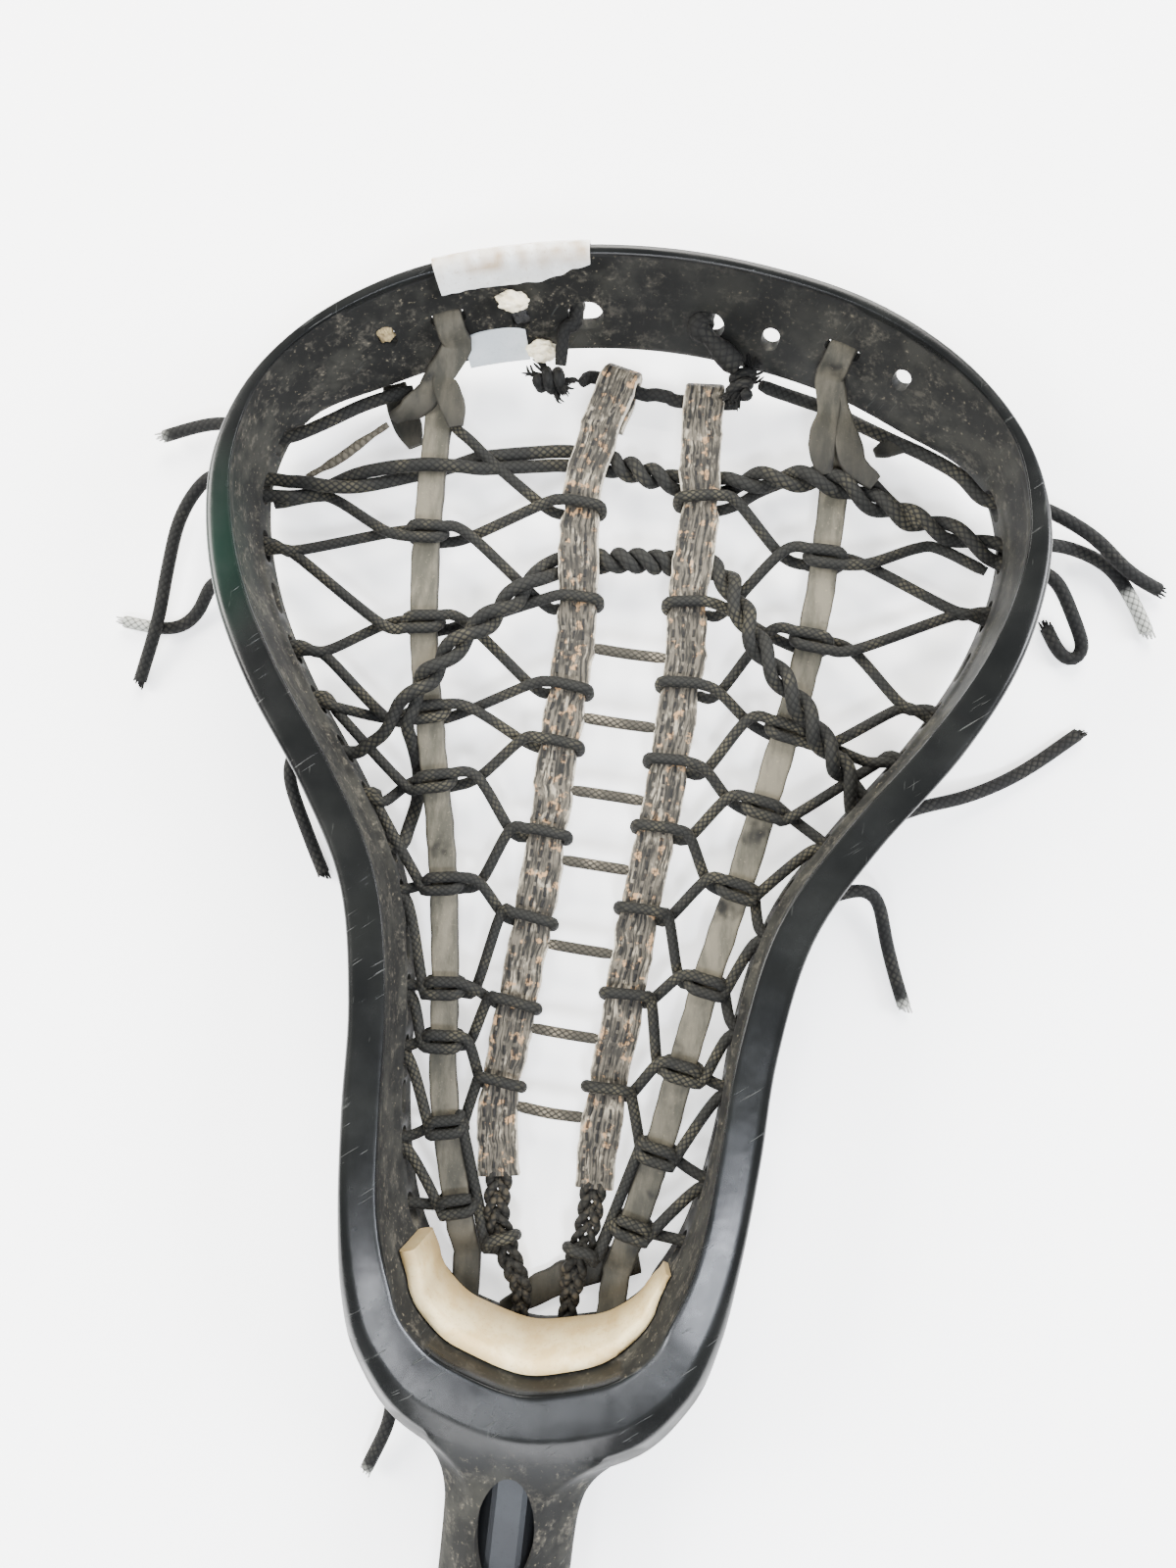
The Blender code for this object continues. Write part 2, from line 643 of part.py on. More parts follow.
def make_end_cap(group, material):
    """The butt cap: a domed flange and a hollow plug, drawn with the plug upwards."""
    plug = SHAFT_FLATS / 2 - SHAFT_WALL - PLUG_CLEARANCE
    profile = (
        (plug - PLUG_WALL, SEAT_GAP + 4.0 + PLUG_LENGTH - 5.0),
        (plug - PLUG_WALL, PLUG_LENGTH - 0.6),
        (plug - PLUG_WALL + 0.6, PLUG_LENGTH),
        (plug - 1.0, PLUG_LENGTH),
        (plug, PLUG_LENGTH - 1.2),
        (plug, 0.0),
        (CAP_RADIUS - 0.8, 0.0),
        (CAP_RADIUS, -0.8),
        (CAP_RADIUS, -CAP_RIM + CAP_DOME + SEAT_GAP),
        (CAP_RADIUS * 0.93, -CAP_RIM + CAP_DOME * 0.5 + SEAT_GAP),
        (CAP_RADIUS * 0.72, -CAP_RIM + CAP_DOME * 0.12 + SEAT_GAP),
        (CAP_RADIUS * 0.4, -CAP_RIM + SEAT_GAP),
        (0.0, -CAP_RIM + SEAT_GAP),
    )
    hollow = ((0.0, 3.0), (plug - PLUG_WALL, 3.0))
    item = make_turned("end_cap", hollow + profile[1:], group, 24)
    item.rotation_euler = (-math.pi / 2, 0.0, 0.0)
    item.location = (0.0, (HEAD_Y + BUTT_Y + CAP_RIM - SEAT_GAP) * MM, SHAFT_AXIS_Z * MM)
    dress(item, material, 35.0)
    return item


def make_head_screw(group, material):
    """The neck screw, head down in the recess of the socket."""
    head, shank = SCREW_HEAD / 2, SCREW_SHANK / 2
    profile = (
        (0.0, SCREW_HEAD_DEPTH + SCREW_LENGTH),
        (shank * 0.55, SCREW_HEAD_DEPTH + SCREW_LENGTH - 0.2),
        (shank, SCREW_HEAD_DEPTH + SCREW_LENGTH - 1.4),
        (shank, SCREW_HEAD_DEPTH),
        (head, SCREW_HEAD_DEPTH),
        (head, 0.5),
        (head - 0.5, 0.0),
        (0.0, 0.0),
    )
    item = make_turned("head_screw", profile, group, 16)
    item.location = (0.0, (HEAD_Y + SCREW_Y) * MM, (screw_seat_z() - SEAT_GAP - SCREW_HEAD_DEPTH) * MM)
    dress(item, material, 30.0)
    return item


def make_pad(group, material):
    """The foam crescent on the inner wall of the throat."""
    def section(row):
        low = inner_depth(row, PAD_BOTTOM_Z) + SEAT_GAP
        high = inner_depth(row, PAD_TOP_Z) + SEAT_GAP
        return ((low, PAD_BOTTOM_Z), (high, PAD_TOP_Z), (high + PAD_THICKNESS, PAD_TOP_Z),
                (low + PAD_THICKNESS, PAD_BOTTOM_Z))

    steps = range(PAD_END_STEP, LAST_ROW * RIM_STEPS + 1)
    rings = [section_ring(step / RIM_STEPS, section) for step in steps]
    rings[-1] = [(0.0, y, z) for _, y, z in rings[-1]]
    builder = bmesh.new()
    skin_rings(builder, rings, True, False)
    item = mesh_object("ball_stop_pad", builder, group)
    add_mirror(item)
    add_bevel(item, 0.9, 1)
    dress(item, material)
    return item


def make_rim_tape(group, material):
    """Tape folded over the edge of the scoop, left of the middle."""
    def section(row):
        front, drop = row[3], row[8]
        inner, outer = [], []
        for gap, side in ((SEAT_GAP, inner), (SEAT_GAP + TAPE_THICKNESS, outer)):
            face_low = inner_depth(row, front - TAPE_DEPTH)
            side += [(face_low + gap, front - TAPE_DEPTH),
                     (inner_depth(row, front - 0.7) + gap, front - 0.7),
                     (row[2] - 0.7 + gap * 0.4, front + gap),
                     (row[7] - gap * 0.4, front + gap),
                     (-gap, front - drop),
                     (-gap, front - FLANGE_THICKNESS),
                     (face_low - WALL_THICKNESS - 0.9 - gap, front - TAPE_DEPTH)]
        return inner + list(reversed(outer))

    low, high = scoop_place(TAPE_RIGHT_X, 36.0), scoop_place(TAPE_LEFT_X, 36.0)
    count = 6
    rings = []
    for step in range(count + 1):
        ring = section_ring(low + (high - low) * step / count, section)
        rings.append([(-x, y, z) for x, y, z in ring])
    builder = bmesh.new()
    skin_rings(builder, rings, True, True)
    item = mesh_object("rim_tape", builder, group)
    dress(item, material)
    return item


def make_tape_strip(group, material):
    """The loose lower end of the tape, bent under the back edge of the scoop."""
    count = 3
    rings = []
    low, high = scoop_place(STRIP_RIGHT_X, 10.0), scoop_place(STRIP_LEFT_X, 10.0)
    for step in range(count + 1):
        edge, normal, row = rim_frame(low + (high - low) * step / count)
        back = row[4]
        inside = inner_depth(row, back)
        outside = inside - RAIL_THICKNESS - SEAT_GAP
        upper = inner_depth(row, back + STRIP_RISE) - RAIL_THICKNESS - SEAT_GAP
        thick = TAPE_THICKNESS
        foot = back - SEAT_GAP
        outline = ((upper, back + STRIP_RISE), (outside, foot), (inside + STRIP_REACH, foot - 0.6),
                   (inside + STRIP_REACH, foot - 0.6 - thick), (outside - thick, foot - thick),
                   (upper - thick, back + STRIP_RISE))
        ring = []
        for depth, height in outline:
            spot = edge + normal * depth
            ring.append((-spot.x, spot.y, height))
        rings.append(ring)
    builder = bmesh.new()
    skin_rings(builder, rings, True, True)
    item = mesh_object("tape_strip", builder, group)
    dress(item, material)
    return item


def make_lump(name, centre, radii, group, material):
    """A small lump of filler: a squashed ball with its top pushed aside."""
    builder = bmesh.new()
    bmesh.ops.create_uvsphere(builder, u_segments=8, v_segments=6, radius=MM)
    for vert in builder.verts:
        swell = 1.0 + 0.16 * math.sin(3.0 * vert.co.x / MM + 2.0) * math.cos(2.5 * vert.co.y / MM)
        vert.co = Vector(value * radius for value, radius in zip(vert.co * swell, radii))
    bmesh.ops.translate(builder, vec=metres(centre), verts=builder.verts)
    item = mesh_object(name, builder, group)
    dress(item, material, 80.0)
    return item


def make_cord(name, points, diameter, group, material, resolution=1):
    """A round cord along its points, in head millimetres."""
    curve = bpy.data.curves.new(name, "CURVE")
    curve.dimensions = "3D"
    curve.bevel_depth = diameter / 2 * MM
    curve.bevel_resolution = resolution
    curve.use_fill_caps = True
    spline = curve.splines.new("POLY")
    spline.points.add(len(points) - 1)
    for slot, point in zip(spline.points, points):
        slot.co = (*metres(point), 1.0)
    item = bpy.data.objects.new(name, curve)
    item.location.y = HEAD_Y * MM
    item.data.materials.append(material)
    group.objects.link(item)
    return item


def make_strap(name, stations, width, thickness, group, material):
    """A flat strap: an open strip along its stations, with a wall and rounded edges.

    A station is a point, the direction of the strap's width and a share of the width.
    """
    builder = bmesh.new()
    rows = []
    for point, across, share in stations:
        reach = Vector(across).normalized() * (width / 2 * share)
        ends = (Vector(point) - reach, Vector(point) + reach)
        rows.append([builder.verts.new(metres(end)) for end in ends])
    for first, second in zip(rows, rows[1:]):
        builder.faces.new((first[0], first[1], second[1], second[0]))
    item = mesh_object(name, builder, group)
    wall = item.modifiers.new("Wall", "SOLIDIFY")
    wall.thickness = thickness * MM
    wall.offset = 0.0
    wall.use_even_offset = True
    add_bevel(item, thickness * 0.22, 1, 50.0)
    dress(item, material)
    return item


def strap_frame(points, y):
    """The middle of a strap and the direction across it, at a y along the stick."""
    route = smooth_route([(x, along, 0.0) for x, along in points], 4.0)
    for first, second in zip(route, route[1:]):
        if second.y <= y <= first.y:
            share = (first.y - y) / (first.y - second.y)
            run = (second - first).normalized()
            middle = first.lerp(second, share)
            return Vector((middle.x, y)), Vector((-run.y, run.x))
    raise ValueError("no strap at y " + str(y))


def thong_height(y):
    """A thong's height: level in the pocket, then down to its hole in the throat."""
    share = min(max((y - THONG_LEVEL_Y) / (THONG_SUNK_Y - THONG_LEVEL_Y), 0.0), 1.0)
    return POCKET_Z + (THROAT_Z - POCKET_Z) * share * share * (3 - 2 * share)


def pocket_stations(points, spacing, height):
    """Stations along a strap in the pocket, at the heights that a function of y gives."""
    route = smooth_route([(x, y, 0.0) for x, y in points], spacing)
    route = [Vector((point.x, point.y, height(point.y))) for point in route]
    stations = []
    for index, point in enumerate(route):
        run = route[min(index + 1, len(route) - 1)] - route[max(index - 1, 0)]
        stations.append((point, Vector((-run.y, run.x, 0.0)), 1.0))
    return stations


def make_thong(side, points, group, material):
    """A leather thong: round the scoop through its slot, down the pocket, through the throat."""
    name = "outer_thong_" + ("left" if side < 0 else "right")
    half = THONG_THICKNESS / 2
    edge, normal, row = rim_frame(scoop_place(THONG_SLOT_X, THONG_SLOT_Z))
    back = row[4]
    clear = half + SEAT_GAP + 0.15

    def beside(height, gap):
        """A point off the inner face by a gap; a gap under zero is outside the wall."""
        depth = inner_depth(row, height) + gap
        spot = edge + normal * depth
        return Vector((side * spot.x, spot.y, height))

    outer = -(RAIL_THICKNESS + clear)
    under = back - clear
    turned = beside(under, 4.0)
    tail = Vector((side * THONG_TAIL[0], THONG_TAIL[1], 0.0))
    loop = [turned + tail, turned + tail * 0.2, beside(under, 1.0), beside(under, outer + 1.0),
            beside(under + 0.8, outer - 0.4), beside(back + 1.0, outer - 1.0), beside(15.0, outer - 0.4),
            beside(THONG_SLOT_Z - 1.4, outer - 1.4), beside(THONG_SLOT_Z, outer - 0.4),
            beside(THONG_SLOT_Z, 1.0), beside(THONG_SLOT_Z - 1.6, clear + 1.4), beside(15.0, clear + 1.4),
            beside(11.0, clear + 5.0)]
    scoop_across = Vector((side * normal.y, -normal.x, 0.0)) * -side
    stations = [(point, scoop_across, 1.0) for point in loop]
    tail_across = Vector((-tail.y, tail.x, 0.0))
    if tail_across.dot(scoop_across) < 0:
        tail_across = -tail_across
    stations[0] = (loop[0], tail_across, 1.0)
    pocket = pocket_stations(points, 9.0, thong_height)
    if pocket[0][1].dot(scoop_across) < 0:
        stations = [(point, -across, share) for point, across, share in stations]
    stations += pocket
    x = side * THROAT_THONG_X
    wall_y = throat_wall(THROAT_THONG_X, THROAT_Z)
    across = Vector((1.0, 0.0, 0.0))
    if pocket[-1][1].x < 0:
        across = -across
    passage = RAIL_THICKNESS + THONG_WIDTH / 2
    for depth, share in ((passage, 1.0), (passage + 2.0, 1.2), (passage + 6.0, 1.2), (passage + 7.5, 0.8)):
        stations.append((Vector((x, wall_y - depth, THROAT_Z)), across, share))
    return make_strap(name, stations, THONG_WIDTH, THONG_THICKNESS, group, material)


def make_runner(side, points, group, material):
    """A stitched runner, folded at its top round the cord that carries it."""
    name = "inner_runner_" + ("left" if side < 0 else "right")
    turn = CORD / 2 + SEAT_GAP + RUNNER_THICKNESS / 2
    top = Vector((points[0][0], points[0][1], POCKET_Z))
    stations = pocket_stations(points, 9.0, lambda y: POCKET_Z)
    across = stations[0][1].normalized()
    upward = Vector((across.y, -across.x, 0.0))
    if upward.y < 0:
        upward = -upward
    centre = top - Vector((0.0, 0.0, turn))
    fold = [(centre - upward * RUNNER_FOLD - Vector((0.0, 0.0, turn)), across, 1.0)]
    for step in range(6):
        angle = -math.pi / 2 + math.pi * step / 5
        spot = centre + upward * turn * math.cos(angle) + Vector((0.0, 0.0, turn * math.sin(angle)))
        fold.append((spot, across, 1.0))
    return make_strap(name, fold[:-1] + stations, RUNNER_WIDTH, RUNNER_THICKNESS, group, material)


def turn_points(middle, across, half_width, thickness, run_in, front_first, low_near):
    """A lace's turn round a strap, over it and round the far edge and back.

    across points to the far edge. run_in is how far the lace is straight
    beyond the near edge. The strand behind the strap starts or ends low_near
    high beside it, to pass under what crosses there.
    """
    lift = thickness / 2 + SEAT_GAP + LACE / 2
    direction = Vector((across.x, across.y, 0.0))
    centre = Vector((middle.x, middle.y, POCKET_Z))
    near = centre - direction * (half_width + run_in)
    edge = centre + direction * half_width
    up = Vector((0.0, 0.0, lift))
    hug = direction * (SEAT_GAP + LACE / 2)
    front = [near + up, edge + up, edge + hug + up * 0.66]
    behind = [edge + hug - up * 0.66, edge - up, Vector((near.x, near.y, low_near))]
    if front_first:
        return front + behind
    return list(reversed(behind)) + list(reversed(front))


def toward(vector, side):
    """The vector turned, if need be, to point to the given side in x."""
    return vector if vector.x * side > 0 else -vector


def hole_frame(side, y):
    """A lace hole's centre in the wall, and the outward and upward directions there."""
    centre, outward, along = wall_frame(side_place(y), POCKET_Z, side)
    return centre, outward, (along if along.y > 0 else -along)


def through_wall(side, y):
    """A lace's two runs through a hole: in at the top, round outside, back at the bottom."""
    centre, outward, along = hole_frame(side, y)
    half = along * (LACE_PAIR / 2)
    inside = centre - outward * (RAIL_THICKNESS / 2 + 1.0)
    outside = centre + outward * (RAIL_THICKNESS / 2 + SEAT_GAP + LACE / 2 + 0.3)
    return [inside + half, outside + half, outside - half, inside - half]


def make_wall_lace(side, thong, turns, start, group, material):
    """The lace between the wall and the outer thong.

    From each hole it goes behind the thong, passing under the other lace's
    turn, comes back in front, and goes to the next hole.
    """
    name = "wall_lace_" + ("left" if side < 0 else "right")
    points = [Vector(point) for point in start]
    for y, hole in zip(turns, LACE_HOLES):
        middle, across = strap_frame(thong, y - STRAND_PITCH / 2)
        across = toward(across, -side)
        room = abs(hole_frame(side, y)[0].x - middle.x) - THONG_WIDTH / 2
        run_in = 2.5 if room > 14.0 else 0.8
        round_thong = turn_points(middle, across, THONG_WIDTH / 2, THONG_THICKNESS, run_in, False, LEG_Z)
        near = round_thong[0]
        outer = Vector((across.x, across.y, 0.0)) * (-3.0 if room > 14.0 else -1.4)
        dip = near + outer + Vector((0.0, STRAND_PITCH * (0.4 if room > 14.0 else 1.0), 0.0))
        last = points[-1]
        if (last - dip).length > 16.0:
            early = last.lerp(dip, 0.35)
            points.append(Vector((early.x, early.y, LEG_Z + 0.5)))
        points.append(Vector((dip.x, dip.y, LEG_Z)))
        points += round_thong
        points += through_wall(side, hole)
    return make_cord(name, points[:-2], LACE, group, material)


def make_pocket_lace(side, thong, straps, thong_turns, start, group, material):
    """The lace between the outer thong and the runner.

    straps gives, for each turn, the inner strap's middle, the direction across
    it, its half width and its thickness. From there the lace goes in front of
    the thong, comes back behind it, and passes under the other lace's turn.
    """
    name = "pocket_lace_" + ("left" if side < 0 else "right")
    points = [Vector(point) for point in start]
    for (middle, across, half, thickness), y in zip(straps, thong_turns):
        across = toward(across, -side)
        round_strap = turn_points(middle, across, half, thickness, 1.5, False, LEG_Z + 0.9)
        near = round_strap[0]
        last = points[-1]
        if len(points) > len(start):
            spot = last.lerp(near, 0.45)
            points.append(Vector((spot.x, spot.y, LEG_Z)))
        points += round_strap
        middle, across = strap_frame(thong, y + STRAND_PITCH / 2)
        across = toward(across, side)
        round_thong = turn_points(middle, across, THONG_WIDTH / 2, THONG_THICKNESS, 0.8, True, LEG_Z)
        if points[-1].y < round_thong[0].y:
            hump = points[-1].lerp(round_thong[0], 0.58)
            points.append(Vector((hump.x, hump.y, POCKET_Z + 6.6)))
        points += round_thong
    return make_cord(name, points, LACE, group, material)


def cord_strap_route(side, points):
    """The woven cord's route from the end of a runner through the throat."""
    end_x, end_y = points[-1]
    x = side * THROAT_CORD_X
    wall_y = throat_wall(THROAT_CORD_X, THROAT_Z)
    return ((end_x, end_y - SEAT_GAP - 0.3, POCKET_Z), (end_x * 0.95, end_y - 11.0, POCKET_Z),
            (end_x * 0.5 + x * 0.4, end_y - 21.0, POCKET_Z - 0.4), (x, wall_y + 9.0, THROAT_Z + 1.6),
            (x, wall_y + 2.0, THROAT_Z), (x, wall_y - RAIL_THICKNESS - 3.0, THROAT_Z))


def inner_straps(side, runner, runner_turns, cord_turn):
    """Where the pocket lace goes round the runner, and last round its woven cord."""
    straps = []
    for y in runner_turns:
        middle, across = strap_frame(runner, y)
        straps.append((middle, across, RUNNER_WIDTH / 2, RUNNER_THICKNESS))
    route = [(x, y) for x, y, _ in cord_strap_route(side, runner)]
    middle, across = strap_frame(route, cord_turn)
    straps.append((middle, across, CORD_STRAP_WIDTH / 2, CORD_STRAP_THICKNESS))
    return straps


def make_ladder(group, material):
    """Cross stitches between the inner edges of the runners."""
    for index, y in enumerate(LADDER_Y):
        left, across = strap_frame(RUNNER_LEFT, y + 0.4)
        right, across_r = strap_frame(RUNNER_RIGHT, y - 0.4)
        inset = RUNNER_WIDTH / 2 + SEAT_GAP + 0.1
        start = (left.x + inset, left.y, POCKET_Z)
        end = (right.x - inset, right.y, POCKET_Z)
        make_cord("ladder_rung_" + str(index + 1), [start, end], LACE, group, material)


def barrel_knot(centre, axis, flat, steps=8):
    """Points of the turns of a barrel knot: a short close coil round its axis."""
    axis = Vector(axis).normalized()
    flat = Vector(flat)
    upward = axis.cross(flat)
    points = []
    count = int(KNOT_TURNS * steps) + 1
    for step in range(count):
        angle = math.tau * step / steps
        along = KNOT_PITCH * (step - (count - 1) / 2) / steps
        points.append(centre + axis * along
                      + (flat * math.cos(angle) + upward * math.sin(angle)) * KNOT_RADIUS)
    return points


def hole_point(side, y, distance, shift=0.0):
    """A point in a lace hole: a distance outward from the middle of the wall, shifted along it."""
    centre, outward, along = hole_frame(side, y)
    return centre + outward * distance + along * shift


def hole_run(side, y, shift=0.0):
    """A cord's straight run from the outer face of the wall to just inside it."""
    end = RAIL_THICKNESS / 2
    return [hole_point(side, y, end, shift), hole_point(side, y, -end - 1.5, shift)]


def make_shooting_strings(group, material):
    """Two upper cords across the pocket and two lower ones in a deep curve."""
    half = STRING_PAIR / 2
    above = POCKET_Z + THONG_THICKNESS / 2 + SEAT_GAP + CORD / 2
    below = POCKET_Z - THONG_THICKNESS / 2 - SEAT_GAP - CORD / 2
    under = POCKET_Z - RUNNER_THICKNESS / 2 - SEAT_GAP - CORD / 2
    high = POCKET_Z + THONG_THICKNESS / 2 + 2 * SEAT_GAP + LACE + CORD / 2 + 0.2
    upper_a = [*hole_run(-1, UPPER_STRING_HOLE_Y, half), (-71.0, 95.5, 10.5), (-60.0, 97.0, above + 0.3),
               (-53.0, 97.6, above + 0.3), (-46.0, 98.8, above), (-37.0, 100.2, 7.8), (-20.0, 102.0, under),
               (-4.0, 102.4, under), (3.5, 101.6, under + 2.0), (11.0, 99.9, under), (20.0, 99.6, under),
               (25.5, 100.4, under), (32.0, 101.6, 8.0), (44.0, 102.0, above), (54.0, 101.8, above + 0.3),
               (63.0, 98.0, above), (80.0, 93.5, 10.5), *reversed(hole_run(1, UPPER_STRING_HOLE_Y, half))]
    make_cord("upper_shooting_string_a", smooth_route(upper_a, 10.0), CORD, group, material)
    upper_b = [*hole_run(-1, UPPER_STRING_HOLE_Y, -half), (-71.0, 90.5, 8.8), (-60.0, 92.6, below),
               (-53.0, 93.2, below - 0.1), (-46.0, 94.2, below), (-37.0, 96.0, 5.9), (-20.0, 98.1, under),
               (-4.0, 98.2, under), (10.5, 95.7, under), (20.0, 95.2, under), (25.5, 95.9, under),
               (32.0, 97.2, 8.0), (44.0, 97.8, above), (54.0, 97.5, above + 0.3), (63.0, 93.4, above),
               (80.0, 88.7, 10.0), *reversed(hole_run(1, UPPER_STRING_HOLE_Y, -half))]
    make_cord("upper_shooting_string_b", smooth_route(upper_b, 10.0), CORD, group, material)
    lower_a = [*hole_run(-1, LOWER_STRING_HOLE_Y), (-61.0, 21.5, high - 0.6), (-52.0, 30.5, high),
               (-44.5, 42.5, high), (-37.0, 54.0, high + 0.2), (-31.0, 60.5, high - 0.2), (-25.0, 66.8, 12.0),
               (-18.5, 72.6, under), (-11.0, 74.5, under), (4.0, 74.6, under), (19.0, 76.4, under),
               (26.5, 76.2, under), (31.5, 70.4, 11.0), (34.8, 62.8, high + 0.2), (38.8, 55.0, high),
               (45.5, 46.5, high), (55.0, 35.5, high), (61.8, 27.0, high - 0.2),
               *reversed(hole_run(1, LOWER_STRING_HOLE_Y, -half))]
    make_cord("lower_shooting_string_a", smooth_route(lower_a, 9.0), CORD, group, material)
    lower_b = [*hole_run(-1, LOW_STRING_HOLE_Y), (-54.0, -3.0, 13.5), (-56.0, 5.0, 15.6), (-57.5, 14.0, 15.2),
               (-58.9, 19.5, 10.2), (-58.6, 23.3, 7.9), (-58.1, 27.3, 7.6), (-57.0, 32.3, 5.2),
               (-52.5, 37.5, 5.6), (-46.5, 43.0, 6.0), (-40.0, 48.3, 7.6), (-32.0, 55.0, 8.7),
               (-24.0, 62.0, 8.9), (-18.0, 67.2, under), (-10.5, 69.2, under), (4.0, 69.4, under),
               (19.4, 71.0, under), (25.0, 70.6, under), (30.0, 65.8, 7.6), (35.0, 58.5, 9.0),
               (40.0, 51.5, 8.2), (45.8, 45.8, below - 0.2), (51.0, 42.6, below - 0.3), (57.5, 39.3, 5.6),
               (60.6, 34.0, 7.3), (61.8, 30.0, 7.6), (63.4, 25.5, 8.4),
               *reversed(hole_run(1, LOWER_STRING_HOLE_Y, half))]
    make_cord("lower_shooting_string_b", smooth_route(lower_b, 9.0), CORD, group, material)


def make_scoop_strings(group, material):
    """Cords along the back edge of the scoop, from the wall holes to the thong and the knot."""
    left = [*hole_run(-1, SCOOP_STRING_HOLE_Y), (-85.0, 102.5, 10.5), (-72.0, 108.5, 11.5),
            (-61.0, 112.5, 12.5)]
    make_cord("scoop_string_left", smooth_route(left, 9.0), CORD, group, material)
    right = [*hole_run(1, SCOOP_STRING_HOLE_Y), (87.0, 106.0, 8.0), (78.0, 111.0, 6.4), (68.4, 115.4, 4.2),
             (59.9, 119.4, 2.4), (52.1, 122.7, 2.2), (42.8, 124.6, 3.6), (35.6, 125.2, 6.6), (32.4, 125.3, 9.0)]
    make_cord("scoop_string_right", smooth_route(right, 9.0), CORD, group, material)


def make_runner_ties(group, material):
    """What hangs the runners from the scoop: a cord through their folds, two knots and two ties."""
    turn = CORD / 2 + SEAT_GAP + RUNNER_THICKNESS / 2
    drop = Vector((0.0, 0.0, POCKET_Z - turn))
    reach = RUNNER_WIDTH / 2 + 1.5
    ends = []
    for points in (RUNNER_LEFT, RUNNER_RIGHT):
        station = pocket_stations(points, 9.0, lambda y: 0.0)[0]
        across = toward(station[1].normalized(), 1)
        ends.append((station[0] + drop - across * reach, station[0] + drop + across * reach, across))
    (left_a, left_b, across_l), (right_a, right_b, across_r) = ends
    outer_l = left_a - across_l * 3.2 + Vector((0.0, -3.4, 2.1))
    outer_r = right_b + across_r * 1.9 - Vector((0.0, 0.0, 0.7))
    dips = [Vector((3.9, 121.3, 6.3)), Vector((8.2, 120.8, 6.3))]
    top_cord = [outer_l, left_a, left_b, *dips, right_a, right_b, outer_r]
    make_cord("runner_top_cord", top_cord, CORD, group, material)
    knots = {-1: Vector((-24.2, 121.3, 10.4)), 1: Vector((27.2, 124.2, 11.5))}
    axes = {-1: Vector((1.0, 0.0, 0.0)), 1: Vector((0.0, 1.0, 0.0))}
    tie_ends = {-1: Vector((2.5, 2.8, 3.6)), 1: Vector((-1.6, 2.6, 4.1))}
    for side in (-1, 1):
        name = "runner_knot_" + ("left" if side < 0 else "right")
        turns = barrel_knot(knots[side], axes[side], (0.0, 0.0, 1.0))
        make_cord(name, turns, KNOT_CORD, group, material)
    for side in (-1, 1):
        centre, outward, _ = wall_frame(scoop_place(RUNNER_SLOT_X, RUNNER_SLOT_Z), RUNNER_SLOT_Z, side)
        centre = centre + Vector((-1.0, -0.1, 0.0)) if side < 0 else centre
        deep = RAIL_THICKNESS / 2
        name = "runner_tie_" + ("left" if side < 0 else "right")
        sideways = Vector((side, 0.0, 0.0))
        tie = [centre + outward * (deep + 3.2) + Vector((0.0, 0.0, -9.0)), centre + outward * (deep + 3.0),
               centre - outward * (deep + 1.0), centre - outward * (deep + 3.6) + sideways * 3.0,
               knots[side] + tie_ends[side]]
        make_cord(name, smooth_route(tie, 5.0), CORD, group, material)


def make_runner_cords(group, material):
    """Woven cords that carry on from the ends of the runners into the throat."""
    for side, points in ((-1, RUNNER_LEFT), (1, RUNNER_RIGHT)):
        route = smooth_route(cord_strap_route(side, points), 8.0)
        stations = []
        for index, point in enumerate(route):
            run = route[min(index + 1, len(route) - 1)] - route[max(index - 1, 0)]
            share = 1.0 if point.y > -112.0 else 0.8
            stations.append((point, Vector((-run.y, run.x, 0.0)), share))
        name = "runner_cord_" + ("left" if side < 0 else "right")
        make_strap(name, stations, CORD_STRAP_WIDTH, CORD_STRAP_THICKNESS, group, material)


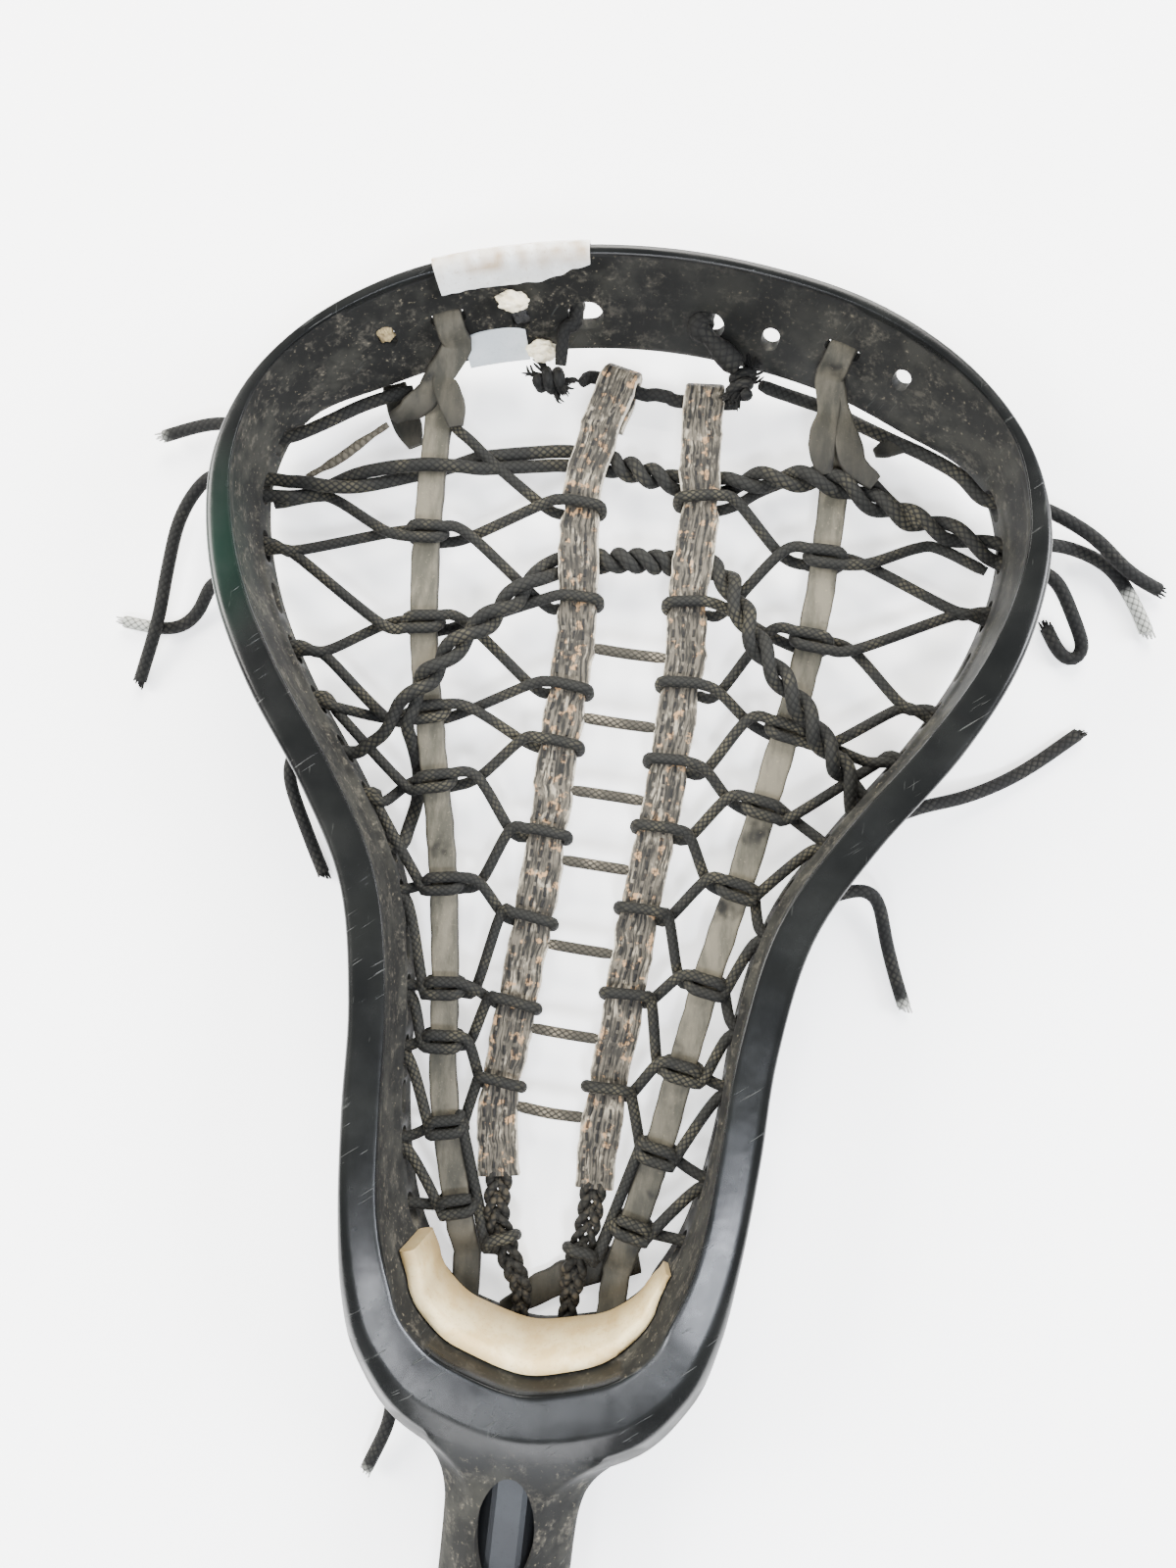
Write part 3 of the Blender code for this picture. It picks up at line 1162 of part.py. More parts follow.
# Free ends of the cords: name, side, hole, shift along the wall, and the points after the hole
HALF_PAIR = STRING_PAIR / 2
TAILS = (
    ("tail_left_top", -1, SCOOP_STRING_HOLE_Y, 0.0,
     ((-111.0, 101.8, 9.0), (-117.0, 101.9, 8.0), (-124.5, 100.5, 6.0), (-132.5, 98.0, 4.5))),
    ("tail_left_long", -1, UPPER_STRING_HOLE_Y, HALF_PAIR,
     ((-113.5, 87.5, 9.0), (-118.8, 84.0, 7.6), (-124.0, 74.0, 6.8), (-126.5, 61.0, 6.4), (-129.0, 45.0, 6.1),
      (-132.0, 29.0, 2.2))),
    ("tail_left_hook", -1, HOOK_TAIL_HOLE_Y, 0.0,
     ((-108.5, 58.5, 9.0), (-113.5, 56.5, 6.5), (-116.5, 50.0, 3.0), (-122.0, 44.5, 2.1), (-130.0, 44.0, 2.1),
      (-138.0, 44.8, 2.1))),
    ("tail_left_side", -1, LOWER_STRING_HOLE_Y, 0.0,
     ((-81.0, 17.0, 9.0), (-83.0, 11.0, 7.8), (-82.0, 3.0, 6.5), (-79.5, -5.0, 4.5), (-76.0, -12.5, 3.0),
      (-72.5, -19.0, 2.4))),
    ("tail_right_top", 1, SCOOP_STRING_HOLE_Y, 0.0,
     ((106.8, 99.4, 9.5), (112.1, 97.8, 9.4), (118.0, 95.3, 9.0), (125.2, 91.6, 8.0), (130.8, 86.9, 6.7),
      (136.2, 83.9, 5.0), (143.2, 81.7, 2.7))),
    ("tail_right_long", 1, UPPER_STRING_HOLE_Y, HALF_PAIR,
     ((108.0, 88.8, 9.0), (113.4, 90.0, 7.2), (119.8, 90.0, 4.2), (125.7, 88.9, 2.4), (131.4, 85.9, 2.1),
      (135.3, 80.8, 2.1), (139.1, 74.8, 2.1), (141.3, 70.2, 2.1))),
    ("tail_right_hook", 1, UPPER_STRING_HOLE_Y, -HALF_PAIR,
     ((108.5, 82.2, 9.5), (113.0, 80.9, 9.3), (116.3, 77.8, 8.6), (119.8, 72.7, 6.8), (123.2, 67.4, 4.6),
      (124.7, 63.7, 3.0), (122.9, 60.8, 2.2), (119.9, 62.2, 2.1), (117.6, 65.4, 2.1), (115.6, 68.6, 2.1))),
    ("tail_right_side", 1, LOWER_STRING_HOLE_Y, -HALF_PAIR,
     ((85.0, 16.5, 8.5), (98.0, 21.0, 5.0), (112.0, 29.0, 2.4), (126.0, 41.0, 2.1))),
    ("tail_right_low", 1, LOW_STRING_HOLE_Y, 0.0,
     ((70.0, -7.0, 9.0), (76.0, -6.5, 7.2), (79.0, -11.5, 5.0), (81.0, -18.0, 3.0), (84.5, -27.5, 2.1),
      (88.0, -36.0, 2.1))),
)
THROAT_TAIL = ((-25.05, -139.74, 6.0), (-31.5, -144.0, 6.8), (-34.8, -151.0, 7.0), (-36.0, -162.0, 6.6),
               (-40.5, -175.0, 3.6))


def make_tails(group, material):
    for name, side, y, shift, points in TAILS:
        face = RAIL_THICKNESS / 2 + SEAT_GAP + 0.1
        start = [hole_point(side, y, face, shift), hole_point(side, y, face + 2.4, shift)]
        make_cord(name, start + smooth_route(points, 7.0), CORD, group, material)
    make_cord("tail_throat", smooth_route(THROAT_TAIL, 7.0), CORD, group, material)


def main():
    clear_scene()
    parts = make_collection("womens_lacrosse_stick")
    cutters = make_collection("cutters")

    nylon = make_material("black_nylon", (0.018, 0.019, 0.021), 0.34)
    alloy = make_material("grey_anodised_alloy", (0.10, 0.105, 0.115), 0.38, 0.85)
    rubber = make_material("black_rubber", (0.02, 0.02, 0.02), 0.7)
    steel = make_material("zinc_plated_steel", (0.55, 0.55, 0.56), 0.35, 1.0)
    foam = make_material("cream_foam", (0.58, 0.50, 0.34), 0.85)
    leather = make_material("grey_brown_leather", (0.16, 0.145, 0.125), 0.75)
    webbing = make_material("stitched_runner", (0.13, 0.115, 0.10), 0.8)
    braid = make_material("dark_grey_braid", (0.035, 0.035, 0.037), 0.7)
    tape = make_material("white_tape", (0.72, 0.71, 0.68), 0.6)
    filler = make_material("cream_filler", (0.74, 0.68, 0.54), 0.7)

    _, screw_hole = make_head_frame(parts, cutters, nylon)
    make_shaft(parts, alloy, screw_hole)
    make_end_cap(parts, rubber)
    make_head_screw(parts, steel)
    make_pad(parts, foam)
    make_rim_tape(parts, tape)
    make_tape_strip(parts, tape)
    make_lump("filler_lump_upper", (-34.2, 133.0, 24.6), (4.0, 2.2, 2.6), parts, filler)
    make_lump("filler_lump_lower", (-28.4, 128.5, 12.4), (3.6, 2.2, 2.8), parts, filler)
    make_thong(-1, THONG_LEFT, parts, leather)
    make_thong(1, THONG_RIGHT, parts, leather)
    make_runner(-1, RUNNER_LEFT, parts, webbing)
    make_runner(1, RUNNER_RIGHT, parts, webbing)
    make_runner_cords(parts, braid)
    make_runner_ties(parts, braid)
    make_wall_lace(-1, THONG_LEFT, THONG_TURNS_LEFT, ((-97.2, 80.6, 6.4), (-84.0, 85.0, 4.8)), parts,
                   braid)
    make_wall_lace(1, THONG_RIGHT, THONG_TURNS_RIGHT, ((96.6, 80.8, 6.4), (84.0, 86.0, 4.8)), parts,
                   braid)
    straps_left = inner_straps(-1, RUNNER_LEFT, RUNNER_TURNS_LEFT, CORD_TURN_LEFT)
    straps_right = inner_straps(1, RUNNER_RIGHT, RUNNER_TURNS_RIGHT, CORD_TURN_RIGHT)
    start_left = ((-47.5, 109.0, 13.2), (-37.0, 100.0, 13.2))
    start_right = ((60.0, 108.5, 5.5), (48.0, 104.0, 4.2), (36.0, 98.0, 3.0))
    make_pocket_lace(-1, THONG_LEFT, straps_left, THONG_TURNS_LEFT, start_left, parts, braid)
    make_pocket_lace(1, THONG_RIGHT, straps_right, THONG_TURNS_RIGHT, start_right, parts, braid)
    make_ladder(parts, braid)
    make_shooting_strings(parts, braid)
    make_scoop_strings(parts, braid)
    make_tails(parts, braid)


main()
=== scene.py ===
"""The looks of a strung women's lacrosse stick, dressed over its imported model.

Sizes are in millimetres from the head's datum: +X to the right, +Y to the
scoop, +Z out of the face. spot() turns such a place into the frame's metres.
"""

import logging
import math
from dataclasses import dataclass
from enum import Enum
from typing import Callable, Optional, Sequence

import bmesh
import bpy
from mathutils import Matrix, Vector, noise


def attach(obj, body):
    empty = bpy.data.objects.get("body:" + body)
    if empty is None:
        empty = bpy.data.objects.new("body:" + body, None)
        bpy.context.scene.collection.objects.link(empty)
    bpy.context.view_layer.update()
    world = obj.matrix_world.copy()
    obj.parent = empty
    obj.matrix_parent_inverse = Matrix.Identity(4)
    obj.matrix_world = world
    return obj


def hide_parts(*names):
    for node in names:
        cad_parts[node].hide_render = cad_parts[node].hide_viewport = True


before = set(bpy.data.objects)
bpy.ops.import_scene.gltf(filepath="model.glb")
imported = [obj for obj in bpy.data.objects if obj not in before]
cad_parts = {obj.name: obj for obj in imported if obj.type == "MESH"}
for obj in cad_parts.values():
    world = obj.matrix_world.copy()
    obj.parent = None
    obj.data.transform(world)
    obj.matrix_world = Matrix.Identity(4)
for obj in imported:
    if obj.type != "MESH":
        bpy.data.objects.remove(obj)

log = logging.getLogger("lacrosse_stick")

MM = 0.001
HEAD_Y = 395.0
STICK = "stick"
Route = list[Vector]


def spot(x: float, y: float, z: float) -> Vector:
    """Turn a place on the head, in millimetres, into the frame's metres."""
    return Vector((x, y + HEAD_Y, z)) * MM


def on_head(vert: bpy.types.MeshVertex) -> tuple[float, float, float]:
    """Give a point's place on the head in millimetres, the other way from spot()."""
    return vert.co.x / MM, vert.co.y / MM - HEAD_Y, vert.co.z / MM


def catmull(before: Sequence[float], start: Sequence[float], end: Sequence[float],
            after: Sequence[float], share: float) -> list[float]:
    """Find a point on a Catmull-Rom span, column by column.

    Args:
        before: The row ahead of the span.
        start: The row where the span starts.
        end: The row where the span ends.
        after: The row behind the span.
        share: How far along the span, from 0 to 1.

    Returns:
        The columns of the point.
    """
    point = []
    for a, b, c, d in zip(before, start, end, after):
        point.append(0.5 * (2 * b + (c - a) * share + (2 * a - 5 * b + 4 * c - d) * share ** 2
                            + (3 * b - a - 3 * c + d) * share ** 3))
    return point


def smooth_rows(rows: Sequence[Sequence[float]], spacing: float) -> list[list[float]]:
    """Fill rows of numbers in on a smooth curve.

    Args:
        rows: Rows whose first three columns are a place in millimetres.
        spacing: The distance between the new rows, about.

    Returns:
        The filled rows.
    """
    filled = []
    for index in range(len(rows) - 1):
        start, end = rows[index], rows[index + 1]
        before = rows[index - 1] if index else [2 * a - b for a, b in zip(start, end)]
        after = rows[index + 2] if index + 2 < len(rows) else [2 * b - a for a, b in zip(start, end)]
        reach = math.dist(start[:3], end[:3])
        steps = max(1, round(reach / spacing))
        for step in range(steps):
            filled.append(catmull(before, start, end, after, step / steps))
    filled.append(list(rows[-1]))
    return filled


def smooth_route(points: Sequence[Sequence[float]], spacing: float = 1.3) -> Route:
    """Make a smooth route of even steps through points.

    Args:
        points: The places that the route passes.
        spacing: The distance between its points.

    Returns:
        The route's points.
    """
    fine = [Vector(row[:3]) for row in smooth_rows([list(point) for point in points], spacing * 0.4)]
    route = [fine[0]]
    left = spacing
    for first, second in zip(fine, fine[1:]):
        length = (second - first).length
        while length >= left > 0.0:
            first = first.lerp(second, left / length)
            route.append(first.copy())
            length = (second - first).length
            left = spacing
        left -= length
    if (route[-1] - fine[-1]).length < spacing * 0.4:
        route.pop()
    route.append(fine[-1])
    return route


def run_at(route: Sequence[Vector], index: int) -> Vector:
    """Give the way along a route at one of its points, from the point before it to the one after."""
    return route[min(index + 1, len(route) - 1)] - route[max(index - 1, 0)]


def distances(route: Sequence[Vector]) -> list[float]:
    """Give each point's distance along a route."""
    lengths = [0.0]
    for first, second in zip(route, route[1:]):
        lengths.append(lengths[-1] + (second - first).length)
    return lengths


def aside(run: Vector) -> Vector:
    """Give the level direction at right angles to a way."""
    return Vector((-run.y, run.x, 0.0))


def wobble(point: Vector, size: float, seed: float) -> float:
    """Give a smooth random number from about -1 to 1 at a place, with bumps of a size in mm."""
    return noise.noise(Vector((point.x / size + seed, point.y / size - seed, point.z / size)))


def clamp(value: float, low: float = 0.0, high: float = 1.0) -> float:
    """Keep a number within two limits."""
    return min(max(value, low), high)


def linear(code: str) -> tuple[float, float, float, float]:
    """Turn an sRGB hex colour into the renderer's linear colour.

    Args:
        code: Six hex digits.

    Returns:
        Red, green, blue and alpha.
    """
    parts = []
    for index in (0, 2, 4):
        value = int(code[index:index + 2], 16) / 255
        parts.append(value / 12.92 if value <= 0.04045 else ((value + 0.055) / 1.055) ** 2.4)
    return (parts[0], parts[1], parts[2], 1.0)


def add_node(tree: bpy.types.NodeTree, kind: str, inputs: Optional[dict] = None,
             **settings: object) -> bpy.types.Node:
    """Add a node with its settings and links.

    Args:
        tree: The node tree.
        kind: The node's type.
        inputs: Values, or sockets and tones to link, by the input's name or number.
        **settings: Properties of the node.

    Returns:
        The node.
    """
    node = tree.nodes.new(kind)
    for key, value in settings.items():
        setattr(node, key, value)
    for key, value in (inputs or {}).items():
        source = value.socket if isinstance(value, Tone) else value
        if isinstance(source, bpy.types.NodeSocket):
            tree.links.new(source, node.inputs[key])
        else:
            node.inputs[key].default_value = source
    return node


class Tone:
    """A number that varies over a piece. Sums with it add the nodes that work them out."""

    def __init__(self, tree: bpy.types.NodeTree, socket: bpy.types.NodeSocket) -> None:
        """Keep the tree and the socket that gives the number."""
        self.tree = tree
        self.socket = socket

    def sum(self, operation: str, other: object = 0.0, clamped: bool = False) -> "Tone":
        """Give the result of a sum with another tone or a number."""
        node = add_node(self.tree, "ShaderNodeMath", {0: self, 1: other}, operation=operation,
                        use_clamp=clamped)
        return Tone(self.tree, node.outputs[0])

    def __add__(self, other: object) -> "Tone":
        """Add another tone or a number."""
        return self.sum("ADD", other)

    def __sub__(self, other: object) -> "Tone":
        """Take another tone or a number away."""
        return self.sum("SUBTRACT", other)

    def __mul__(self, other: object) -> "Tone":
        """Multiply by another tone or a number."""
        return self.sum("MULTIPLY", other)

    def __abs__(self) -> "Tone":
        """Drop the sign."""
        return self.sum("ABSOLUTE")

    def between(self, low: float, high: float) -> "Tone":
        """Stretch it so that low gives 0 and high gives 1, smoothly."""
        node = add_node(self.tree, "ShaderNodeMapRange", {"Value": self, "From Min": low, "From Max": high},
                        interpolation_type="SMOOTHSTEP")
        return Tone(self.tree, node.outputs[0])


class Surface:
    """A new material with its shader, on which patterns, coats of colour and a relief are laid."""

    def __init__(self, name: str, ground: str, roughness: float, specular: float,
                 metallic: float = 0.0) -> None:
        """Make the material with its uniform values.

        Args:
            name: The material's name.
            ground: The hex colour under every coat.
            roughness: The shader's roughness.
            specular: The shader's specular level.
            metallic: The shader's metallic value.
        """
        self.material = bpy.data.materials.new(name)
        self.material.use_nodes = True
        self.tree = self.material.node_tree
        self.inputs = self.tree.nodes["Principled BSDF"].inputs
        self.base: object = linear(ground)
        for key, value in (("Base Color", self.base), ("Roughness", roughness),
                           ("Specular IOR Level", specular), ("Metallic", metallic)):
            self.inputs[key].default_value = value
        self.places = add_node(self.tree, "ShaderNodeTexCoord")

    def blotches(self, size: float, detail: float = 3.0, stretch: Sequence[float] = (1, 1, 1),
                 turn: float = 0.0, woven: bool = False) -> Tone:
        """Add noise with bumps of a real size.

        Args:
            size: The size of a bump in millimetres.
            detail: How many finer layers it has.
            stretch: How much longer the bumps are along each axis.
            turn: How far the pattern is turned about the upright axis, in radians.
            woven: Whether it follows the piece's own length and width.

        Returns:
            The noise, from 0 to 1.
        """
        unit = 1.0 if woven else MM
        base = self.places.outputs["UV" if woven else "Object"]
        if turn:
            turned = add_node(self.tree, "ShaderNodeMapping", {"Vector": base, "Rotation": (0, 0, turn)})
            base = turned.outputs[0]
        scale = [1.0 / (size * unit * axis) for axis in stretch]
        moved = add_node(self.tree, "ShaderNodeMapping", {"Vector": base, "Scale": scale})
        pattern = add_node(self.tree, "ShaderNodeTexNoise", {
            "Vector": moved.outputs[0], "Scale": 1.0, "Detail": detail, "Roughness": 0.6})
        return Tone(self.tree, pattern.outputs["Fac"])

    def stored(self, name: str) -> Tone:
        """Read a number that the mesh carries at each point."""
        return Tone(self.tree, add_node(self.tree, "ShaderNodeAttribute", attribute_name=name).outputs["Fac"])

    def uv(self) -> tuple[Tone, Tone]:
        """Read the distance along a piece and the place across it."""
        parts = add_node(self.tree, "ShaderNodeSeparateXYZ", {0: self.places.outputs["UV"]}).outputs
        return Tone(self.tree, parts[0]), Tone(self.tree, parts[1])

    def coats(self, *layers: tuple[str, Tone]) -> None:
        """Lay hex colours over what is there, each by its share from 0 to 1."""
        for code, share in layers:
            mixed = add_node(self.tree, "ShaderNodeMix", {0: share, 6: self.base, 7: linear(code)},
                             data_type="RGBA")
            self.base = mixed.outputs[2]

    def finish(self, height: Tone, depth: float, strength: float) -> bpy.types.Material:
        """Link the colour and a relief.

        Args:
            height: The height, from 0 to 1.
            depth: How deep the relief is in millimetres.
            strength: The share of it that shows.

        Returns:
            The material.
        """
        bump = add_node(self.tree, "ShaderNodeBump", {"Height": height, "Distance": depth * MM,
                                                      "Strength": strength})
        self.tree.links.new(bump.outputs[0], self.inputs["Normal"])
        self.tree.links.new(self.base, self.inputs["Base Color"])
        return self.material


@dataclass(frozen=True)
class MouldedNylon:
    """Injection-moulded black nylon: a soft shine, scuffs from play, dried mud inside the rim."""

    name: str = "moulded_nylon"
    black: str = "0b0c0c"
    scuff: str = "4a4c49"
    mud: str = "57534a"
    green: str = "0d2a20"

    def make(self) -> bpy.types.Material:
        """Build the material and return it."""
        face = Surface(self.name, self.black, 0.36, 0.25)
        # On the nylon the stored number is dried mud only; on the leather and the pad's foot it also carries
        # painted shade.
        mud, fine = face.stored("mud"), face.blotches(1.1)
        scratches = face.blotches(10, 2, (0.05, 1.4, 1), 0.9).between(0.66, 0.72)
        scratches = scratches * face.blotches(16, 1).between(0.5, 0.62)
        streaks = face.blotches(7, 2, (0.12, 1, 1)).between(0.70, 0.76)
        cloudy = mud * face.blotches(13, 4).between(0.44, 0.66)
        dirt = mud * (face.blotches(5, 4) * 0.65 + fine * 0.35).between(0.5, 0.66)
        specks = mud * fine.between(0.64, 0.7)
        face.coats(("141514", face.blotches(22, 2).between(0.35, 0.75)), (self.green, face.stored("green")),
                   (self.scuff, scratches * 0.45), (self.scuff, streaks * 0.2), ("1a1916", mud * 0.45),
                   ("3b3a34", cloudy * 0.5), (self.mud, dirt * 0.5), ("857c68", specks * 0.35))
        shine = face.blotches(14, 4) * 0.34 + 0.08 + scratches * 0.2
        rough = shine.sum("ADD", mud * 0.85, True)
        face.tree.links.new(rough.socket, face.inputs["Roughness"])
        return face.finish(face.blotches(9, 2) * 0.6 - scratches * 0.4 + dirt * 0.6, 0.22, 0.6)


@dataclass(frozen=True)
class BraidedCord:
    """Braided nylon cord: small slanted cells, matt, greyed by dust on top of the weave, painted shade
    between yarns.
    """

    name: str
    # The gap colour is painted shade between the yarns; the yarn colour is laid over it.
    gap: str = "0b0b0a"
    yarn: str = "20201e"
    dust: str = "55503f"
    dusty: float = 0.3
    pitch: float = 2.2
    cells: int = 6

    def make(self) -> bpy.types.Material:
        """Build the material and return it."""
        # The ground is the gap colour, painted shade that shows between the yarns.
        face = Surface(self.name, self.gap, 0.78, 0.16)
        along, around = face.uv()
        run, turn = along * (1.0 / self.pitch), around * float(self.cells)
        weave = abs(((run + turn) * math.pi).sum("SINE")) * abs(((run - turn) * math.pi).sum("SINE"))
        grime = face.blotches(9).between(0.45, 0.7) * self.dusty
        face.coats((self.yarn, weave.between(-0.4, 0.7)), (self.dust, grime * weave.between(0.1, 0.8)),
                   ("b4b5ad", face.stored("pale") * weave.between(-0.2, 0.5)))
        return face.finish(weave, 0.22, 0.6)


@dataclass(frozen=True)
class WornLeather:
    """Split cowhide thong: greyed by mud, dark patches, pale rubs on the flat, painted shade on its edges and
    low pieces.
    """

    name: str = "worn_leather"
    hide: str = "403e35"
    pale: str = "615c4f"
    dark: str = "181714"
    half_width: float = 3.8

    def make(self) -> bpy.types.Material:
        """Build the material and return it."""
        face = Surface(self.name, self.hide, 0.7, 0.25)
        cloud, grain = face.blotches(8, 4, (0.6, 2.2, 1)), face.blotches(0.8)
        # edge is the share of painted shade along the strap's edges.
        edge = abs(face.uv()[1]).between(self.half_width * 0.84, self.half_width)
        # The dark coat by edge is painted shade, and the near-black coat by the stored number is painted
        # shade, deepest low in the pocket and behind the rim.
        face.coats((self.pale, cloud.between(0.36, 0.66)), (self.dark, face.blotches(14).between(0.56, 0.72)),
                   ("857a66", grain.between(0.6, 0.75) * 0.35), (self.dark, edge * 0.75),
                   ("11110f", face.stored("mud")))
        return face.finish(grain * 0.5 + cloud, 0.25, 0.7)


@dataclass(frozen=True)
class StitchedRunner:
    """Two webbing layers sewn with three rows: dark thread dashes, tan wear, pale frayed edges."""

    name: str = "stitched_runner_webbing"
    half_width: float = 5.5
    row_gap: float = 2.7
    stitch: float = 3.3

    def make(self) -> bpy.types.Material:
        """Build the material and return it."""
        face = Surface(self.name, "14130f", 0.7, 0.3)
        along, across = face.uv()
        from_middle = abs(across)
        fibres = face.blotches(1.5, 3, (4, 0.5, 1), woven=True)
        pale = face.blotches(5, 4, (1.2, 0.7, 1), woven=True).between(0.52, 0.64) * fibres.between(0.4, 0.6)
        tan = face.blotches(3.6, 4).between(0.57, 0.64) * fibres.between(0.36, 0.5)
        drift = face.blotches(9, 2, (1, 3, 1), woven=True) * 1.6
        lane = (across + drift + self.row_gap * 10).sum("PINGPONG", self.row_gap / 2)
        dash = (along + drift).sum("PINGPONG", self.stitch / 2)
        thread = lane.between(self.row_gap * 0.2, self.row_gap * 0.08) * dash.between(0.35, 0.7)
        thread = thread * from_middle.between(4.3, 3.9) * face.blotches(6, 2).between(0.36, 0.5)
        edge = (from_middle + face.blotches(2.4) * 1.4).between(self.half_width, self.half_width + 0.5)
        face.coats(("585247", fibres.between(0.36, 0.66)),
                   ("1d1b17", face.blotches(7.5, 4).between(0.5, 0.62) * 0.75), ("9a917f", pale * 0.75),
                   ("a5815a", tan * 0.8), ("0a0a0a", thread * 0.9), ("b9b2a2", edge * 0.85))
        return face.finish(fibres * 0.6 + thread * 0.9, 0.4, 0.8)


@dataclass(frozen=True)
class Mottled:
    """A plain matt stuff with two or three mottled tones, such as foam, cloth tape or filler."""

    name: str
    light: str
    middle: str
    dark: str
    size: float = 6.0
    roughness: float = 0.8
    metallic: float = 0.0
    relief_depth: float = 0.3
    # The stain colour also paints shade where a piece stores it, as at the pad's foot.
    stain: str = "3b3123"
    grain: float = 0.9

    def make(self) -> bpy.types.Material:
        """Build the material and return it."""
        face = Surface(self.name, self.light, self.roughness, 0.35, self.metallic)
        cloud, fine = face.blotches(self.size, 4), face.blotches(self.grain)
        face.coats((self.middle, cloud.between(0.38, 0.66)), (self.dark, fine.between(0.56, 0.72) * 0.5),
                   (self.stain, face.stored("mud")))
        return face.finish(cloud + fine * 0.5, self.relief_depth, 0.6)


class Finish(Enum):
    """The finishes of the stick, each with the recipe that makes it."""

    NYLON = MouldedNylon()
    # A cord's first colour, its gap, is painted shade between the yarns.
    LACE = BraidedCord("lace_braid", pitch=1.9, dusty=0.5)
    STRING = BraidedCord("string_braid", dusty=0.4)
    TAIL = BraidedCord("tail_braid", "080808", "171716", "3b3932", 0.35)
    RUNG = BraidedCord("rung_braid", yarn="3c3932", dust="7d7464", pitch=2.0, dusty=0.7)
    FRAYED = BraidedCord("frayed_strand", "232019", "47433a", "6a6353", cells=2, pitch=2.0)
    WHITE_TIP = BraidedCord("heat_sealed_tip", "5f5f5c", "b9b9b4", "8c8a84", cells=3, pitch=2.0)
    PLAIT = BraidedCord("woven_runner_cord", "080807", "201f1c", "5c5240", 0.35, 2.4, 2)
    LEATHER = WornLeather()
    RUNNER = StitchedRunner()
    # The foam's stain colour is also its painted shade towards the foot.
    FOAM = Mottled("closed_cell_foam", "dcca9c", "c6ac78", "a38450", 9.0, 0.7, 0.0, 0.35, "6b5735")
    TAPE = Mottled("cloth_tape", "e6e6e2", "d3d4d0", "a89a80", 7.0, 0.55, 0.0, 0.25, "9b7b4c")
    # The strip's pale blue-grey is the white tape painted in shade.
    PALE_STRIP = Mottled("tape_in_painted_shade", "c3c8ca", "b4babd", "9fa4a6", 12.0, 0.45, 0.0, 0.1)
    FILLER = Mottled("dried_filler", "f1e7cc", "e4d6b2", "b59f74", 2.0, 0.7, 0.0, 0.4)
    DUST = Mottled("packed_dust", "94845f", "7c6c4e", "57492f", 1.6, 0.9, 0.0, 0.3)
    RUBBER = Mottled("moulded_rubber", "1c1c1c", "232323", "101010", 8.0, 0.72, 0.0, 0.15)
    STEEL = Mottled("zinc_plated_steel", "b5b6b8", "9c9da0", "77787b", 3.0, 0.32, 1.0, 0.05)
    ALLOY = Mottled("anodised_aluminium", "1c1d1f", "212325", "121314", 18.0, 0.36, 0.5, 0.05)

    @property
    def material(self) -> bpy.types.Material:
        """The finish's material, made when it is first asked for."""
        return bpy.data.materials.get(self.value.name) or self.value.make()


def new_object(name: str, builder: bmesh.types.BMesh) -> bpy.types.Object:
    """Turn a bmesh into a linked object and free it."""
    mesh = bpy.data.meshes.new(name)
    builder.to_mesh(mesh)
    builder.free()
    item = bpy.data.objects.new(name, mesh)
    bpy.context.scene.collection.objects.link(item)
    return item


def finish_piece(name: str, builder: bmesh.types.BMesh, finish: Finish, nodes: Sequence[str] = (),
                 angle: float = 50.0) -> bpy.types.Object:
    """Turn a bmesh, in frame metres, into a smooth piece that rides on the stick.

    Args:
        name: The piece's name.
        builder: Its mesh, which is freed.
        finish: Its finish.
        nodes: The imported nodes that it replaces.
        angle: The edge angle in degrees above which shading breaks.

    Returns:
        The piece.
    """
    piece = new_object(name, builder)
    piece.data.shade_smooth()
    piece.data.set_sharp_from_angle(angle=math.radians(angle))
    piece.data.materials.append(finish.material)
    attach(piece, STICK)
    if nodes:
        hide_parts(*nodes)
    log.info("piece %s: %d faces", name, len(piece.data.polygons))
    return piece


def note(piece: bpy.types.Object, name: str, amount: Callable[[bpy.types.MeshVertex], float]) -> None:
    """Store a number at each point of a piece, such as how muddy it is.

    Args:
        piece: The piece.
        name: The number's name.
        amount: Gives the number of a point.
    """
    layer = piece.data.attributes.new(name, "FLOAT", "POINT")
    for vert in piece.data.vertices:
        layer.data[vert.index].value = amount(vert)


def wrapped_grid(rows: int, columns: int, point_at: Callable[[int, int], Vector],
                 uv_at: Callable[[int, int], tuple[float, float]]) -> bmesh.types.BMesh:
    """Bend a flat grid into a closed tube-like body with filled ends.

    Args:
        rows: How many rings it has.
        columns: How many points go round, with the first repeated as the last.
        point_at: Gives the place of a row and column in frame metres.
        uv_at: Gives the pattern coordinates of a row and column.

    Returns:
        The bmesh.
    """
    builder = bmesh.new()
    bmesh.ops.create_grid(builder, x_segments=columns - 1, y_segments=rows - 1, size=1.0)
    builder.verts.ensure_lookup_table()
    places = {}
    for index, vert in enumerate(builder.verts):
        places[vert] = (index // columns, index % columns)
        vert.co = point_at(*places[vert])
    pattern = builder.loops.layers.uv.new("UVMap")
    for face in builder.faces:
        for loop in face.loops:
            loop[pattern].uv = uv_at(*places[loop.vert])
    bmesh.ops.remove_doubles(builder, verts=builder.verts, dist=1e-7)
    rim = [edge for edge in builder.edges if edge.is_boundary]
    bmesh.ops.holes_fill(builder, edges=rim)
    bmesh.ops.recalc_face_normals(builder, faces=builder.faces)
    return builder


def merge(builder: bmesh.types.BMesh, part: bmesh.types.BMesh) -> None:
    """Copy a part into another bmesh and free the part."""
    mesh = bpy.data.meshes.new("part")
    part.to_mesh(mesh)
    part.free()
    builder.from_mesh(mesh)
    bpy.data.meshes.remove(mesh)


